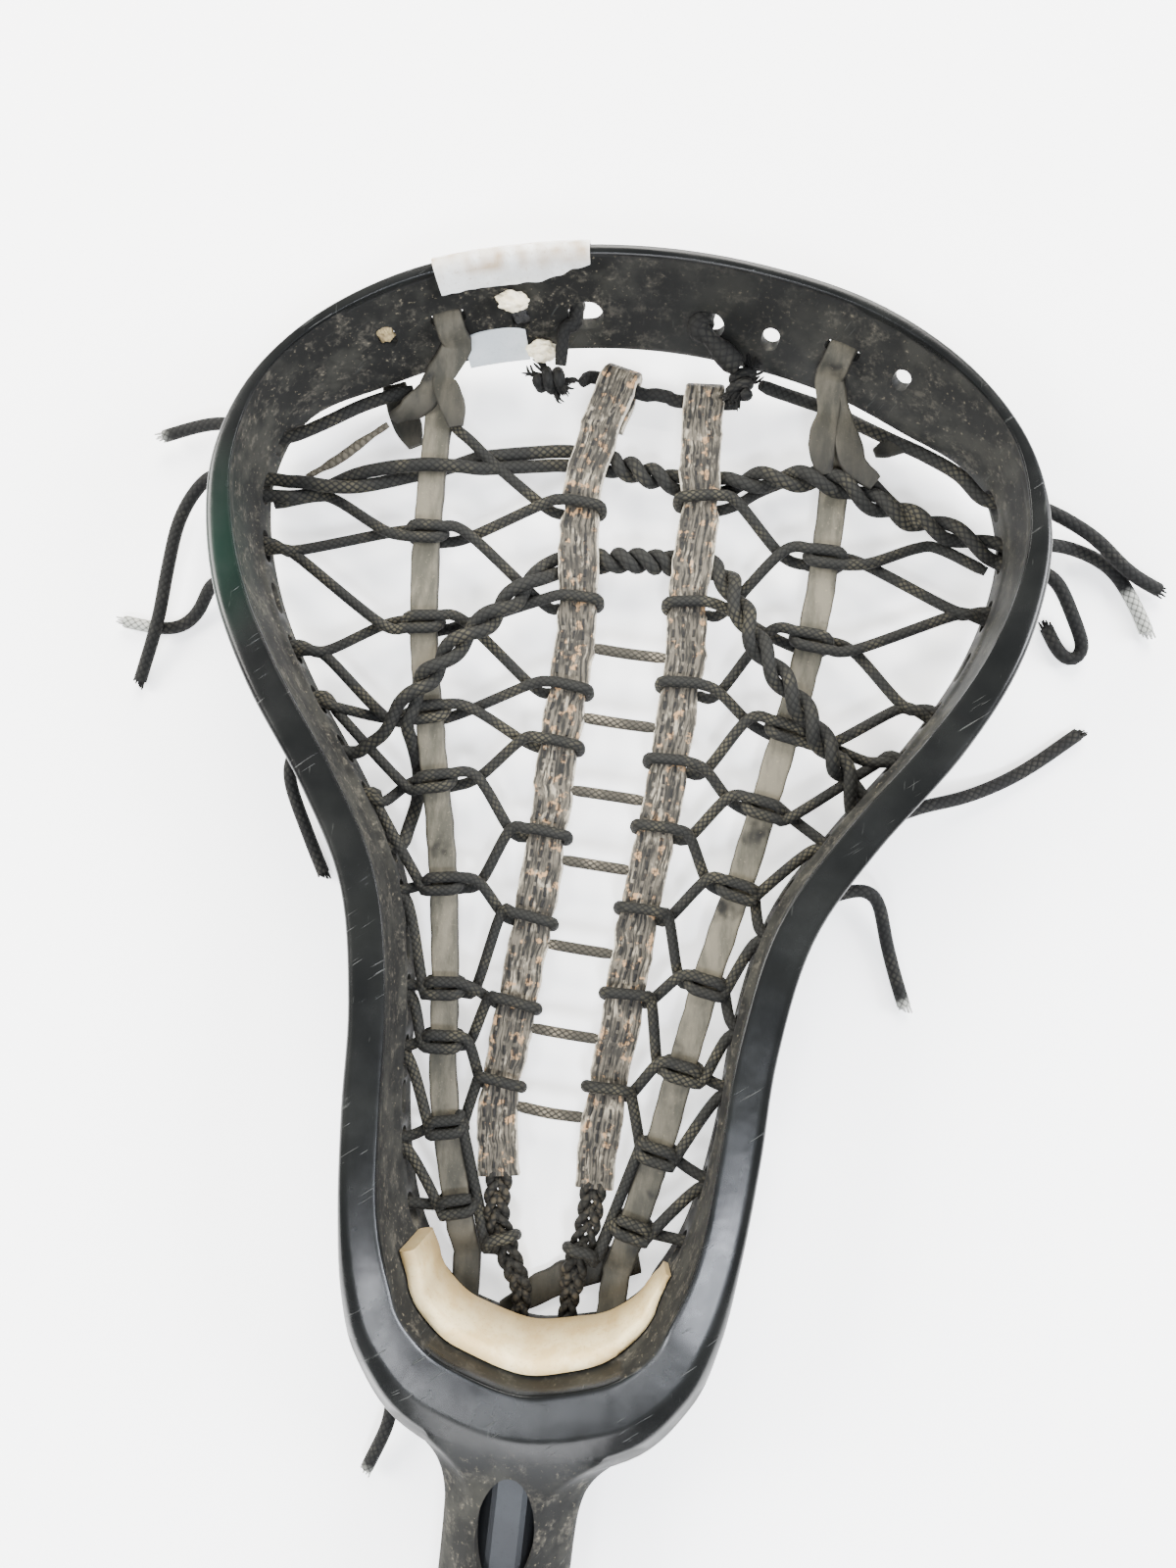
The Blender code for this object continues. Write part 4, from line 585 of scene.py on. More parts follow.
def cord_body(route: Route, diameter: float, sides: int = 10, taper: Sequence[float] = (1.0, 1.0),
              ragged: float = 0.0) -> bmesh.types.BMesh:
    """Sweep a round section along a route.

    Args:
        route: The route's points in millimetres.
        diameter: The cord's diameter in millimetres.
        sides: How many points go round.
        taper: The share of the diameter at the first and last point.
        ragged: How much the diameter wanders, as a share.

    Returns:
        The bmesh.
    """
    tangents = [run_at(route, index).normalized() for index in range(len(route))]
    lengths = distances(route)
    side = tangents[0].orthogonal().normalized()
    frames = []
    for tangent in tangents:
        side = (side - tangent * side.dot(tangent)).normalized()
        frames.append((side.copy(), tangent.cross(side)))

    def radius_at(row: int) -> float:
        """Give the radius at a row, thinner at the ends and uneven where the cord is ragged."""
        ends = min(row, 2) / 2, min(len(route) - 1 - row, 2) / 2
        share = (taper[0] + (1 - taper[0]) * ends[0]) * (taper[1] + (1 - taper[1]) * ends[1])
        return diameter / 2 * share * (1 + ragged * wobble(route[row], 4.0, 3.7))

    def point_at(row: int, column: int) -> Vector:
        """Give the place of a row and column."""
        angle = math.tau * (column % sides) / sides
        first, second = frames[row]
        place = route[row] + (first * math.cos(angle) + second * math.sin(angle)) * radius_at(row)
        return spot(*place)

    return wrapped_grid(len(route), sides + 1, point_at, lambda row, column: (lengths[row], column / sides))


def strap_section(width: float, thickness: float) -> list[tuple[float, float]]:
    """Points of a rounded flat section, across and up, in millimetres."""
    corner = min(thickness * 0.42, 0.9)
    flat, half = width / 2 - corner, thickness / 2
    points = [(flat * share, half) for share in (-1.0, -0.5, 0.0, 0.5, 1.0)]
    for start, centre in ((math.pi / 2, half - corner), (0.0, corner - half)):
        for step in (1, 2, 3):
            angle = start - math.pi / 2 * step / 4
            points.append((flat + corner * math.cos(angle), centre + corner * math.sin(angle)))
    return points + [(-across, -up) for across, up in points]


@dataclass
class Station:
    """A place along a strap: its middle, the direction across it, and its size there."""

    middle: Vector
    across: Vector
    width: float
    thickness: float


def pinch(y: float, turns: Sequence[float], depth: float) -> float:
    """Give the share of a strap's width that is left where the lace's turns pull it in."""
    return 1.0 - depth * max(math.exp(-((y - turn) / 2.4) ** 2) for turn in turns)


def strap_body(stations: Sequence[Station], spacing: float, ragged: float, seed: float) -> bmesh.types.BMesh:
    """Sweep a flat section along stations.

    Args:
        stations: The strap's stations.
        spacing: The distance between its rings.
        ragged: How far its edges wander, in millimetres.
        seed: What makes this strap's wandering its own.

    Returns:
        The bmesh.
    """
    rows = smooth_rows([[*station.middle, *station.across.normalized(), station.width, station.thickness]
                        for station in stations], spacing)
    middles = [Vector(row[:3]) for row in rows]
    lengths = distances(middles)
    sections = [strap_section(row[6], row[7]) for row in rows]
    count = len(sections[0])

    def point_at(row: int, column: int) -> Vector:
        """Give the place of a row and column."""
        run = run_at(middles, row).normalized()
        across = Vector(rows[row][3:6])
        across = (across - run * across.dot(run)).normalized()
        upward = across.cross(run)
        offset, height = sections[row][column % count]
        side = 1.0 if offset > 0 else -1.0
        if ragged:
            offset += ragged * wobble(middles[row] + across * side * 40.0, 5.0, seed)
            height *= 1 + 0.25 * wobble(middles[row], 7.0, seed + 5.0)
        return spot(*(middles[row] + across * offset + upward * height))

    def uv_at(row: int, column: int) -> tuple[float, float]:
        """Give the distance along and the place across the strap."""
        return lengths[row], sections[row][column % count][0]

    return wrapped_grid(len(rows), count + 1, point_at, uv_at)


@dataclass
class RimLine:
    """The line of the rim and every size of its section along it.

    Each row: x, y of the outer edge, width of the front face, height of the
    front face, height of the back edge, inward lean of the back edge, depth of
    the inner groove, width and drop of the outer shoulder.
    """

    rows: tuple = (
        (0, 147.5, 2.6, 36.5, 8, 13, 0, 0.9, 0.9),
        (28, 145.2, 2.6, 36.5, 8, 13, 0, 0.9, 0.9),
        (56, 138, 2.8, 37, 7.5, 12, 0, 0.9, 0.9),
        (79, 125.5, 2.8, 37, 6.5, 9.5, 0, 0.9, 0.9),
        (95, 109.5, 3, 37, 5, 2.5, 0, 1, 0.9),
        (103.2, 92, 4.8, 37, 4, 0, 0.3, 1.2, 1),
        (104.9, 74, 6.4, 37, 3, -0.2, 0.6, 1.6, 1.2),
        (100, 51, 8, 37, 2.5, 0, 0.8, 1.8, 1.2),
        (88.5, 28, 9, 37, 2, 0, 1, 1.8, 1.2),
        (71, 3, 9, 36.5, 1.2, 0, 1.4, 1.8, 1.2),
        (58.5, -20, 9.5, 36.5, 0.5, 0, 1.4, 1.8, 1.2),
        (53, -48, 9.7, 36.5, 0.1, 0, 1.4, 1.8, 1.2),
        (51.6, -74, 10.1, 36.5, 0.1, 0, 1.2, 2, 1.4),
        (49.6, -98, 10.4, 36.5, 0.2, 2, 0.4, 2.5, 1.8),
        (46.8, -119, 13.6, 36, 0.3, 4, 0, 4.5, 3.5),
        (41.5, -136, 17.2, 35, 0.3, 5, 0, 7.5, 6),
        (28, -152, 22.2, 34, 0.3, 6, 0, 11, 8),
        (0, -160.5, 23.8, 33.5, 0.3, 7, 0, 13, 8),
    )
    flange: float = 3.2
    wall: float = 2.6
    rail: float = 3.4
    rail_top: float = 14.0
    pocket_z: float = 9.5
    throat_centre: float = -95.0

    @property
    def last(self) -> int:
        """The number of the last row."""
        return len(self.rows) - 1

    def row(self, place: float) -> list[float]:
        """Give the row of sizes at a place between rows, mirrored past both ends."""
        def whole(index: int) -> tuple:
            """Give a row of the table, mirrored where the number is past an end."""
            if index < 0:
                return (-self.rows[-index][0],) + self.rows[-index][1:]
            if index > self.last:
                mirrored = self.rows[2 * self.last - index]
                return (-mirrored[0],) + mirrored[1:]
            return self.rows[index]

        index = min(int(place), self.last - 1)
        return catmull(whole(index - 1), whole(index), whole(index + 1), whole(index + 2), place - index)

    def frame(self, place: float) -> tuple[Vector, Vector, list[float]]:
        """Give the outer point, the inward direction and the row at a place."""
        step = 0.01
        low = self.row(max(place - step, 0.0))
        high = self.row(min(place + step, float(self.last)))
        along = Vector((high[0] - low[0], high[1] - low[1]))
        if place < step or place > self.last - step:
            along.y = 0.0
        along.normalize()
        row = self.row(place)
        edge = Vector((row[0], row[1]))
        normal = Vector((along.y, -along.x))
        share = clamp((place - self.last + 4) / 1.5)
        inward = (Vector((0.0, self.throat_centre)) - edge).normalized()
        return edge, normal.lerp(inward, share).normalized(), row

    @staticmethod
    def depth(row: Sequence[float], height: float) -> float:
        """Give how far inside the outer edge the wall's inner face is at a height."""
        return row[2] + row[5] * (row[3] - height) / (row[3] - row[4])

    def wall_point(self, place: float, height: float, outside: float = 0.0) -> tuple[Vector, Vector]:
        """Give a point on the wall's inner face, or further out, and the inward direction."""
        edge, normal, row = self.frame(place)
        return edge + normal * (self.depth(row, height) - outside), normal

    def place_where(self, axis: int, value: float, height: float, low: float, high: float) -> float:
        """Find the place where the inner face has the given x or y.

        Args:
            axis: 0 for x, 1 for y.
            value: The x or y.
            height: The height on the wall.
            low: The first place to look at.
            high: The last place to look at.

        Returns:
            The place.
        """
        rising = self.wall_point(high, height)[0][axis] > self.wall_point(low, height)[0][axis]
        for _ in range(40):
            middle = (low + high) / 2
            if (self.wall_point(middle, height)[0][axis] < value) == rising:
                low = middle
            else:
                high = middle
        return (low + high) / 2

    def side_place(self, y: float) -> float:
        """Find the place of a hole in the side wall by its y."""
        return self.place_where(1, y, self.pocket_z, 4.0, 14.5)

    def scoop_place(self, x: float, height: float = 22.0) -> float:
        """Find the place on the scoop by its x."""
        return self.place_where(0, abs(x), height, 0.0, 4.0)

    def wall_frame(self, place: float, height: float, side: int) -> tuple[Vector, Vector, Vector]:
        """Give a point in the middle of the wall, its outward and its along direction."""
        inner, normal = self.wall_point(place, height, self.rail / 2)
        centre = Vector((side * inner.x, inner.y, height))
        outward = Vector((-side * normal.x, -normal.y, 0.0))
        along = Vector((outward.y, -outward.x, 0.0))
        return centre, outward, along if along.y > 0 else -along

    def hole(self, side: int, y: float) -> tuple[Vector, Vector, Vector]:
        """Give a wall hole's centre, outward direction and direction towards the scoop."""
        return self.wall_frame(self.side_place(y), self.pocket_z, side)

    def throat_wall(self, x: float, height: float) -> float:
        """Give the y of the middle of the throat's wall at an x."""
        place = self.place_where(0, abs(x), height, 14.0, float(self.last))
        return self.wall_point(place, height, self.rail / 2)[0].y


RIM = RimLine()


def rounded(corners: Sequence[tuple[float, float]], radius: float) -> list[tuple[float, float]]:
    """Round every corner of a closed flat outline with three points.

    Args:
        corners: The outline's corners.
        radius: The most that a corner is cut back along each side.

    Returns:
        The rounded outline, three points for each corner.
    """
    outline = []
    count = len(corners)
    for index in range(count):
        here = Vector(corners[index])
        back = Vector(corners[index - 1]) - here
        ahead = Vector(corners[(index + 1) % count]) - here
        cut_back = min(radius, back.length * 0.42)
        cut_ahead = min(radius, ahead.length * 0.42)
        first = here + back.normalized() * cut_back
        last = here + ahead.normalized() * cut_ahead
        middle = first * 0.25 + here * 0.5 + last * 0.25
        outline += [tuple(first), tuple(middle), tuple(last)]
    return outline


def rim_ring(edge: Vector, normal: Vector, outline: Sequence[Sequence[float]], side: float) -> list[Vector]:
    """Place an outline on the rim.

    Args:
        edge: The rim's outer point there.
        normal: The inward direction there.
        outline: Its points, as depth from the outer edge and height.
        side: -1 for left, 1 for right and 0 for the middle.

    Returns:
        The points in frame metres.
    """
    ring = []
    for depth, height in outline:
        place = edge + normal * depth
        ring.append(spot(side * place.x, place.y, height))
    return ring


def skin(rings: Sequence[Sequence[Vector]]) -> bmesh.types.BMesh:
    """Wrap a grid over rings and close both ends."""
    count = len(rings[0])
    return wrapped_grid(len(rings), count + 1, lambda row, column: rings[row][column % count],
                        lambda row, column: (float(row), float(column)))


def grow(builder: bmesh.types.BMesh, cap: bmesh.types.BMFace, way: Vector) -> None:
    """Extrude a face and move it, in frame metres."""
    grown = bmesh.ops.extrude_face_region(builder, geom=[cap])
    moved = [item for item in grown["geom"] if isinstance(item, bmesh.types.BMVert)]
    bmesh.ops.translate(builder, verts=moved, vec=way)


@dataclass
class Head:
    """The moulded head: rim, wall, throat and neck, with its string holes.

    A row of the flare is the distance below the socket's top, then half the
    width, bottom, top, flank, drop and foot of an eight-sided ring. A row of the
    scoop's holes is x, z, width and height, and whether the width stands upright.
    """

    steps: int = 7
    socket_top_y: float = -146.0
    socket_end_y: float = -212.0
    socket_corner: float = 2.6
    shaft_flats: float = 22.2
    shaft_top_y: float = -153.6
    shaft_gap: float = 0.3
    axis_z: float = 15.5
    window_width: float = 14.4
    window_top_y: float = -157.8
    window_length: float = 28.0
    screw_y: float = -201.0
    rib_width: float = 2.4
    green_at: tuple = (-100.5, 60.0)
    flare: tuple = (
        (0, 31, 8, 31.6, 6, 6, 4), (5, 30, 4, 31.6, 9, 9, 4), (10, 25.5, 1.8, 31.2, 11, 11, 6),
        (15, 20.6, 1, 30.8, 11, 11, 7.5), (21, 17.8, 1, 30.2, 9.8, 9.8, 8.4), (30, 16.8, 1, 30, 9, 9, 9),
        (57, 16.5, 1.2, 29.8, 9, 9, 9))
    wall_holes: tuple = (98, 84.5, 54.5, 15.5, -9.5, 68.5, 41, 28, 3.5, -22, -47, -63, -87, -104, -34.5, -75)
    scoop_holes: tuple = ((33, 19, 6.8, 4.6, True), (67, 23, 6.8, 4.6, True), (51.5, 23, 9.6, 4.2, False),
                          (16, 18.8, 9.6, 8, False))
    throat_holes: tuple = ((19.5, 9.4, 4), (7, 6.3, 5.8))

    def section(self, row: Sequence[float]) -> list[tuple[float, float]]:
        """Give the rim's closed outline at a row, as depth from the outer edge and height."""
        face, front, back, groove, shoulder, drop = row[2], row[3], row[4], row[6], row[7], row[8]
        under = front - max(RIM.flange, drop + 2.2)
        rail_mid = RIM.rail_top + 1.4
        groove_top = front - RIM.flange - 1.4

        def face_at(height: float) -> float:
            """Give the depth of the wall's inner face at a height."""
            return RIM.depth(row, height)

        return [
            (0.0, front - drop),
            (shoulder * 0.45, front - drop * 0.3),
            (shoulder, front),
            (face - 0.35, front),
            (face_at(front - 0.35), front - 0.35),
            (face_at(front - RIM.flange), front - RIM.flange),
            (face_at(groove_top) - groove, groove_top),
            (face_at(rail_mid) - groove, rail_mid),
            (face_at(RIM.rail_top), RIM.rail_top),
            (face_at(back + 0.8), back + 0.8),
            (face_at(back) - 0.8, back),
            (face_at(back) - RIM.rail + 0.8, back),
            (face_at(back + 0.8) - RIM.rail, back + 0.8),
            (face_at(RIM.rail_top) - RIM.rail, RIM.rail_top),
            (face_at(rail_mid) - groove - RIM.wall, rail_mid),
            (max(face_at(groove_top) - groove - RIM.wall, 0.15), min(groove_top, under - 0.4)),
            (0.0, under),
        ]

    def rim_body(self) -> bmesh.types.BMesh:
        """Loft half of the rim and mirror it."""
        rows = RIM.last * self.steps + 1
        rings = []
        for step in range(rows):
            edge, normal, row = RIM.frame(step / self.steps)
            side = 0.0 if step in (0, rows - 1) else 1.0
            rings.append(rim_ring(edge, normal, rounded(self.section(row), 1.1), side))
        count = len(rings[0])
        builder = bmesh.new()
        bmesh.ops.create_grid(builder, x_segments=count, y_segments=rows - 1, size=1.0)
        builder.verts.ensure_lookup_table()
        for index, vert in enumerate(builder.verts):
            vert.co = rings[index // (count + 1)][index % (count + 1) % count]
        bmesh.ops.remove_doubles(builder, verts=builder.verts, dist=1e-7)
        bmesh.ops.mirror(builder, geom=builder.verts[:] + builder.edges[:] + builder.faces[:], axis="X",
                         merge_dist=1e-5)
        bmesh.ops.recalc_face_normals(builder, faces=builder.faces)
        return builder

    @staticmethod
    def eight_ring(y: float, half: float, low: float, high: float, flank: float, drop: float, foot: float,
                   radius: float) -> list[Vector]:
        """Give an upright eight-sided ring with rounded corners."""
        right = [(half - flank, high), (half, high - drop), (half, low + foot), (half - foot, low)]
        corners = right + [(-x, z) for x, z in reversed(right)]
        return [spot(x, y, z) for x, z in rounded(corners, radius)]

    def neck_body(self) -> bmesh.types.BMesh:
        """Loft the flare of the neck, the socket and its collar."""
        fine = smooth_rows([(-row[0], 0.0, 0.0, *row[1:]) for row in self.flare], 1.6)
        rows = [(self.socket_top_y + row[0], *row[3:]) for row in fine]
        half, low, high, *corners = self.flare[-1][1:]
        for above, more in ((7.4, -0.2), (6.8, 0.3), (6.0, 0.55), (0.9, 0.55), (0.2, 0.2), (0.0, -0.4)):
            rows.append((self.socket_end_y + above, half + more, max(low - more, 0.4), high + more, *corners))
        return skin([self.eight_ring(*row, self.socket_corner) for row in rows])

    @staticmethod
    def stadium(builder: bmesh.types.BMesh, centre: Vector, through: Vector, across: Vector, width: float,
                height: float, length: float) -> None:
        """Add a prism with round ends to a cutter.

        Args:
            builder: The cutter's bmesh.
            centre: The prism's middle in millimetres.
            through: The direction of the hole.
            across: The direction of its width.
            width: Its full width.
            height: Its height.
            length: Its length along the hole.
        """
        ring = bmesh.ops.create_circle(builder, cap_ends=True, radius=height / 2, segments=24)["verts"]
        upward = through.cross(across)
        reach = max(width - height, 0.0) / 2
        for vert in ring:
            shift = reach if vert.co.x > 1e-6 else (-reach if vert.co.x < -1e-6 else 0.0)
            place = centre + across * (vert.co.x + shift) + upward * vert.co.y - through * (length / 2)
            vert.co = spot(*place)
        grow(builder, ring[0].link_faces[0], through * (length * MM))

    def hole_body(self) -> bmesh.types.BMesh:
        """Make one cutter with every string hole."""
        builder = bmesh.new()
        deep = RIM.rail + 4.0
        for side in (-1, 1):
            for y in self.wall_holes:
                centre, outward, along = RIM.hole(side, y)
                self.stadium(builder, centre, outward, along, 9.0, 4.8, deep)
            for x, z, width, height, upright in self.scoop_holes:
                centre, outward, along = RIM.wall_frame(RIM.scoop_place(x, z), z, side)
                across = Vector((0, 0, 1)) if upright else along
                self.stadium(builder, centre, outward, across, width, height, deep)
            for x, width, height in self.throat_holes:
                centre = Vector((side * x, RIM.throat_wall(x, 5.0), 5.0))
                self.stadium(builder, centre, Vector((0, 1, 0)), Vector((1, 0, 0)), width, height, 15.8)
        bmesh.ops.recalc_face_normals(builder, faces=builder.faces)
        return builder

    def bore_body(self) -> bmesh.types.BMesh:
        """Make the cutter of the eight-sided bore."""
        half = self.shaft_flats / 2 + self.shaft_gap
        corner = half * (1 - math.tan(math.pi / 8))
        ring = (half, self.axis_z - half, self.axis_z + half, corner, corner, corner, 0.8)
        ends = (self.shaft_top_y + self.shaft_gap, self.socket_end_y - 5.0)
        return skin([self.eight_ring(y, *ring) for y in ends])

    def window_body(self) -> bmesh.types.BMesh:
        """Make the cutter of the oval window in the neck."""
        builder = bmesh.new()
        ring = bmesh.ops.create_circle(builder, cap_ends=True, radius=1.0, segments=64)["verts"]
        middle = self.window_top_y - self.window_length / 2
        for vert in ring:
            vert.co = spot(vert.co.x * self.window_width / 2, middle + vert.co.y * self.window_length / 2,
                           self.axis_z + 2.0)
        grow(builder, ring[0].link_faces[0], Vector((0, 0, 36.0 * MM)))
        bmesh.ops.recalc_face_normals(builder, faces=builder.faces)
        return builder

    def screw_body(self) -> bmesh.types.BMesh:
        """Make the cutter of the screw's hole and recess."""
        builder = bmesh.new()
        for radius, low, high in ((1.8, -2.0, 11.5), (3.5, -3.0, 3.0)):
            matrix = Matrix.Translation(spot(0.0, self.screw_y, (low + high) / 2))
            bmesh.ops.create_cone(builder, cap_ends=True, segments=32, radius1=radius * MM,
                                  radius2=radius * MM, depth=(high - low) * MM, matrix=matrix)
        return builder

    def rib_body(self) -> bmesh.types.BMesh:
        """Make the rib between the throat's wall and the neck."""
        builder = bmesh.new()
        back = RIM.throat_wall(0.5, 27.0)
        front = self.socket_top_y - 3.0
        bmesh.ops.create_cube(builder, size=1.0)
        for vert in builder.verts:
            x, y, z = vert.co
            vert.co = spot(x * self.rib_width, (back + front) / 2 + y * (back - front), 18.0 * (1.0 + z))
        return builder

    def build(self) -> None:
        """Join and cut the bodies, and dress the head."""
        body = new_object("rim_body", self.rim_body())
        helpers = [body]
        for name, made, operation in (("neck", self.neck_body(), "UNION"), ("rib", self.rib_body(), "UNION"),
                                      ("bore", self.bore_body(), "DIFFERENCE"),
                                      ("window", self.window_body(), "DIFFERENCE"),
                                      ("screw_hole", self.screw_body(), "DIFFERENCE"),
                                      ("string_holes", self.hole_body(), "DIFFERENCE")):
            cut = body.modifiers.new(name, "BOOLEAN")
            cut.operation = operation
            cut.solver = "EXACT"
            cut.use_self = name == "screw_hole"
            cut.object = new_object(name, made)
            helpers.append(cut.object)
        solid = body.evaluated_get(bpy.context.evaluated_depsgraph_get())
        builder = bmesh.new()
        builder.from_mesh(solid.to_mesh())
        solid.to_mesh_clear()
        for item in helpers:
            bpy.data.objects.remove(item, do_unlink=True)
        bmesh.ops.remove_doubles(builder, verts=builder.verts, dist=2e-6)
        bmesh.ops.dissolve_degenerate(builder, edges=builder.edges, dist=1e-6)
        bmesh.ops.triangulate(builder, faces=[face for face in builder.faces if len(face.verts) > 4])
        head = finish_piece("head_frame_skin", builder, Finish.NYLON, ("head_frame",), 30.0)
        note(head, "mud", self.muddy)
        note(head, "green", self.green)

    @staticmethod
    def muddy(vert: bpy.types.MeshVertex) -> float:
        """Say how muddy the head is at a point: its inner walls, its groove and its neck."""
        x, y, z = on_head(vert)
        inward = Vector((-x, 10.0 - y, 0.0)).normalized().dot(vert.normal)
        amount = 0.0
        if y > -128.0 and z < 35.6 and inward > 0.15:
            amount = min(1.0, 0.5 + inward * 0.5)
            if x > 0 and y > 40:
                amount *= 0.62
            if abs(x) < 45 and y > 120 and x > -8:
                amount *= 0.55
        elif z < 31.0 and y > -165.0:
            amount = 0.3
        return max(amount, min(0.8, (-150.0 - y) / 14.0)) if y < -150.0 else amount

    def green(self, vert: bpy.types.MeshVertex) -> float:
        """Say how much green tint lies on the left of the rim's front face at a point."""
        x, y, z = on_head(vert)
        if x >= 0 or z <= 30:
            return 0.0
        away = math.dist((x, y * 0.55), (self.green_at[0], self.green_at[1] * 0.55))
        return max(0.0, 1.0 - away / 17.0) * 0.45


@dataclass
class Pad:
    """The foam crescent of the throat."""

    thickness: float = 4.0
    bottom: float = 9.0
    top: float = 27.0
    gap: float = 0.3
    first_place: float = 41 / 3
    steps: int = 96

    def build(self) -> None:
        """Loft the crescent, which thins towards its right end, and dress it."""
        rings = []
        for step in range(self.steps + 1):
            place = self.first_place + (RIM.last - self.first_place) * (1 - abs(2 * step / self.steps - 1))
            side = -1 if step < self.steps / 2 else 1
            edge, normal, row = RIM.frame(min(place, float(RIM.last)))
            full = clamp((place - self.first_place - 0.15) / 2.4) ** 0.7 if side > 0 else 1.0
            top, thick = self.top - 9.0 * (1.0 - full), self.thickness * (0.35 + 0.65 * full)
            low, high = RIM.depth(row, self.bottom) + self.gap, RIM.depth(row, top) + self.gap
            corners = [(low, self.bottom), (high, top), (high + thick, top), (low + thick, self.bottom)]
            outline = []
            for depth, height in rounded(corners, 1.4 * thick / self.thickness):
                flat = edge + normal * depth
                rise = 0.35 * wobble(Vector((flat.x * side, flat.y, 0.0)), 9.0, 2.0) if height > 20 else 0.0
                outline.append((depth, height + rise))
            rings.append(rim_ring(edge, normal, outline, 0.0 if abs(place - RIM.last) < 1e-6 else side))
        pad = finish_piece("ball_stop_foam", skin(rings), Finish.FOAM, ("ball_stop_pad",), 60.0)
        note(pad, "mud", self.stained)

    @staticmethod
    def stained(vert: bpy.types.MeshVertex) -> float:
        """Say how dark the foam is painted at a point: painted shade towards its foot, stains in patches, its
        worn left end.
        """
        patch = wobble(vert.co / MM, 6.0, 1.0)
        worn = 0.5 * max(0.0, (-vert.co.x / MM - 18.0) / 10.0)
        # The rise towards the foot is painted shade; the patches and the worn left end are stains.
        return clamp((24.0 - vert.co.z / MM) / 15.0 + patch * 0.4 + worn, 0.0, 0.8)


THONGS = {
    -1: ((-54, 112), (-53.5, 80), (-51, 49), (-45.3, 20), (-38.8, -10), (-35, -35),
         (-33.3, -50), (-31.6, -68), (-27.8, -86), (-23.6, -101), (-22.6, -105), (-19.5, -116)),
    1: ((54, 112), (54.4, 88), (52.5, 55), (46.8, 22), (41, -8), (36, -30), (32.4, -50),
        (29, -70), (25.6, -88), (22.6, -101), (22, -105), (19.5, -116)),
}
RUNNERS = {
    -1: ((-6.2, 123), (-10.8, 104), (-12.2, 84), (-10, 60), (-10, 40), (-11, 16), (-11.5, -10),
         (-13, -32), (-14.8, -55), (-16, -73), (-13.5, -92)),
    1: ((17.5, 120.4), (18.2, 104), (19.6, 85), (19.2, 66), (20, 48), (19, 24), (17.3, 0),
        (15, -25), (13.8, -48), (12, -70), (11.6, -92)),
}
THONG_TURNS = {-1: (76.3, 51.7, 27.6, 9.3, -17.6, -45, -59, -81, -101),
               1: (79.7, 57.2, 32.7, 11.8, -10.3, -36, -59, -81, -101)}
RUNNER_TURNS = {-1: (87, 61.5, 37.7, 22.5, -1.7, -24.6, -47.3, -68.3),
                1: (91.6, 63.1, 41.5, 20.8, 2.9, -19.1, -41.6, -66.5)}
CORD_TURN = {-1: -108.5, 1: -109}
LACE_HOLES = (68.5, 41, 28, 3.5, -22, -47, -63, -87, -104)
SIDE_NAMES = {-1: "left", 1: "right"}
LACE = 3.0
STRING = 3.6
POCKET_Z = 9.5


def line_at(points: Sequence[Sequence[float]], y: float) -> tuple[Vector, Vector]:
    """Give the middle of a strap and the direction across it at a y.

    Args:
        points: The strap's x and y points, from the scoop down.
        y: The height along the stick.

    Returns:
        The middle and the unit direction across.
    """
    rows = smooth_rows([(x, along, 0.0) for x, along in points], 2.0)
    for first, second in zip(rows, rows[1:]):
        if second[1] <= y <= first[1]:
            share = (first[1] - y) / (first[1] - second[1])
            run = Vector((second[0] - first[0], second[1] - first[1])).normalized()
            return Vector((first[0] + (second[0] - first[0]) * share, y)), Vector((-run.y, run.x))
    raise ValueError("no strap at y " + str(y))


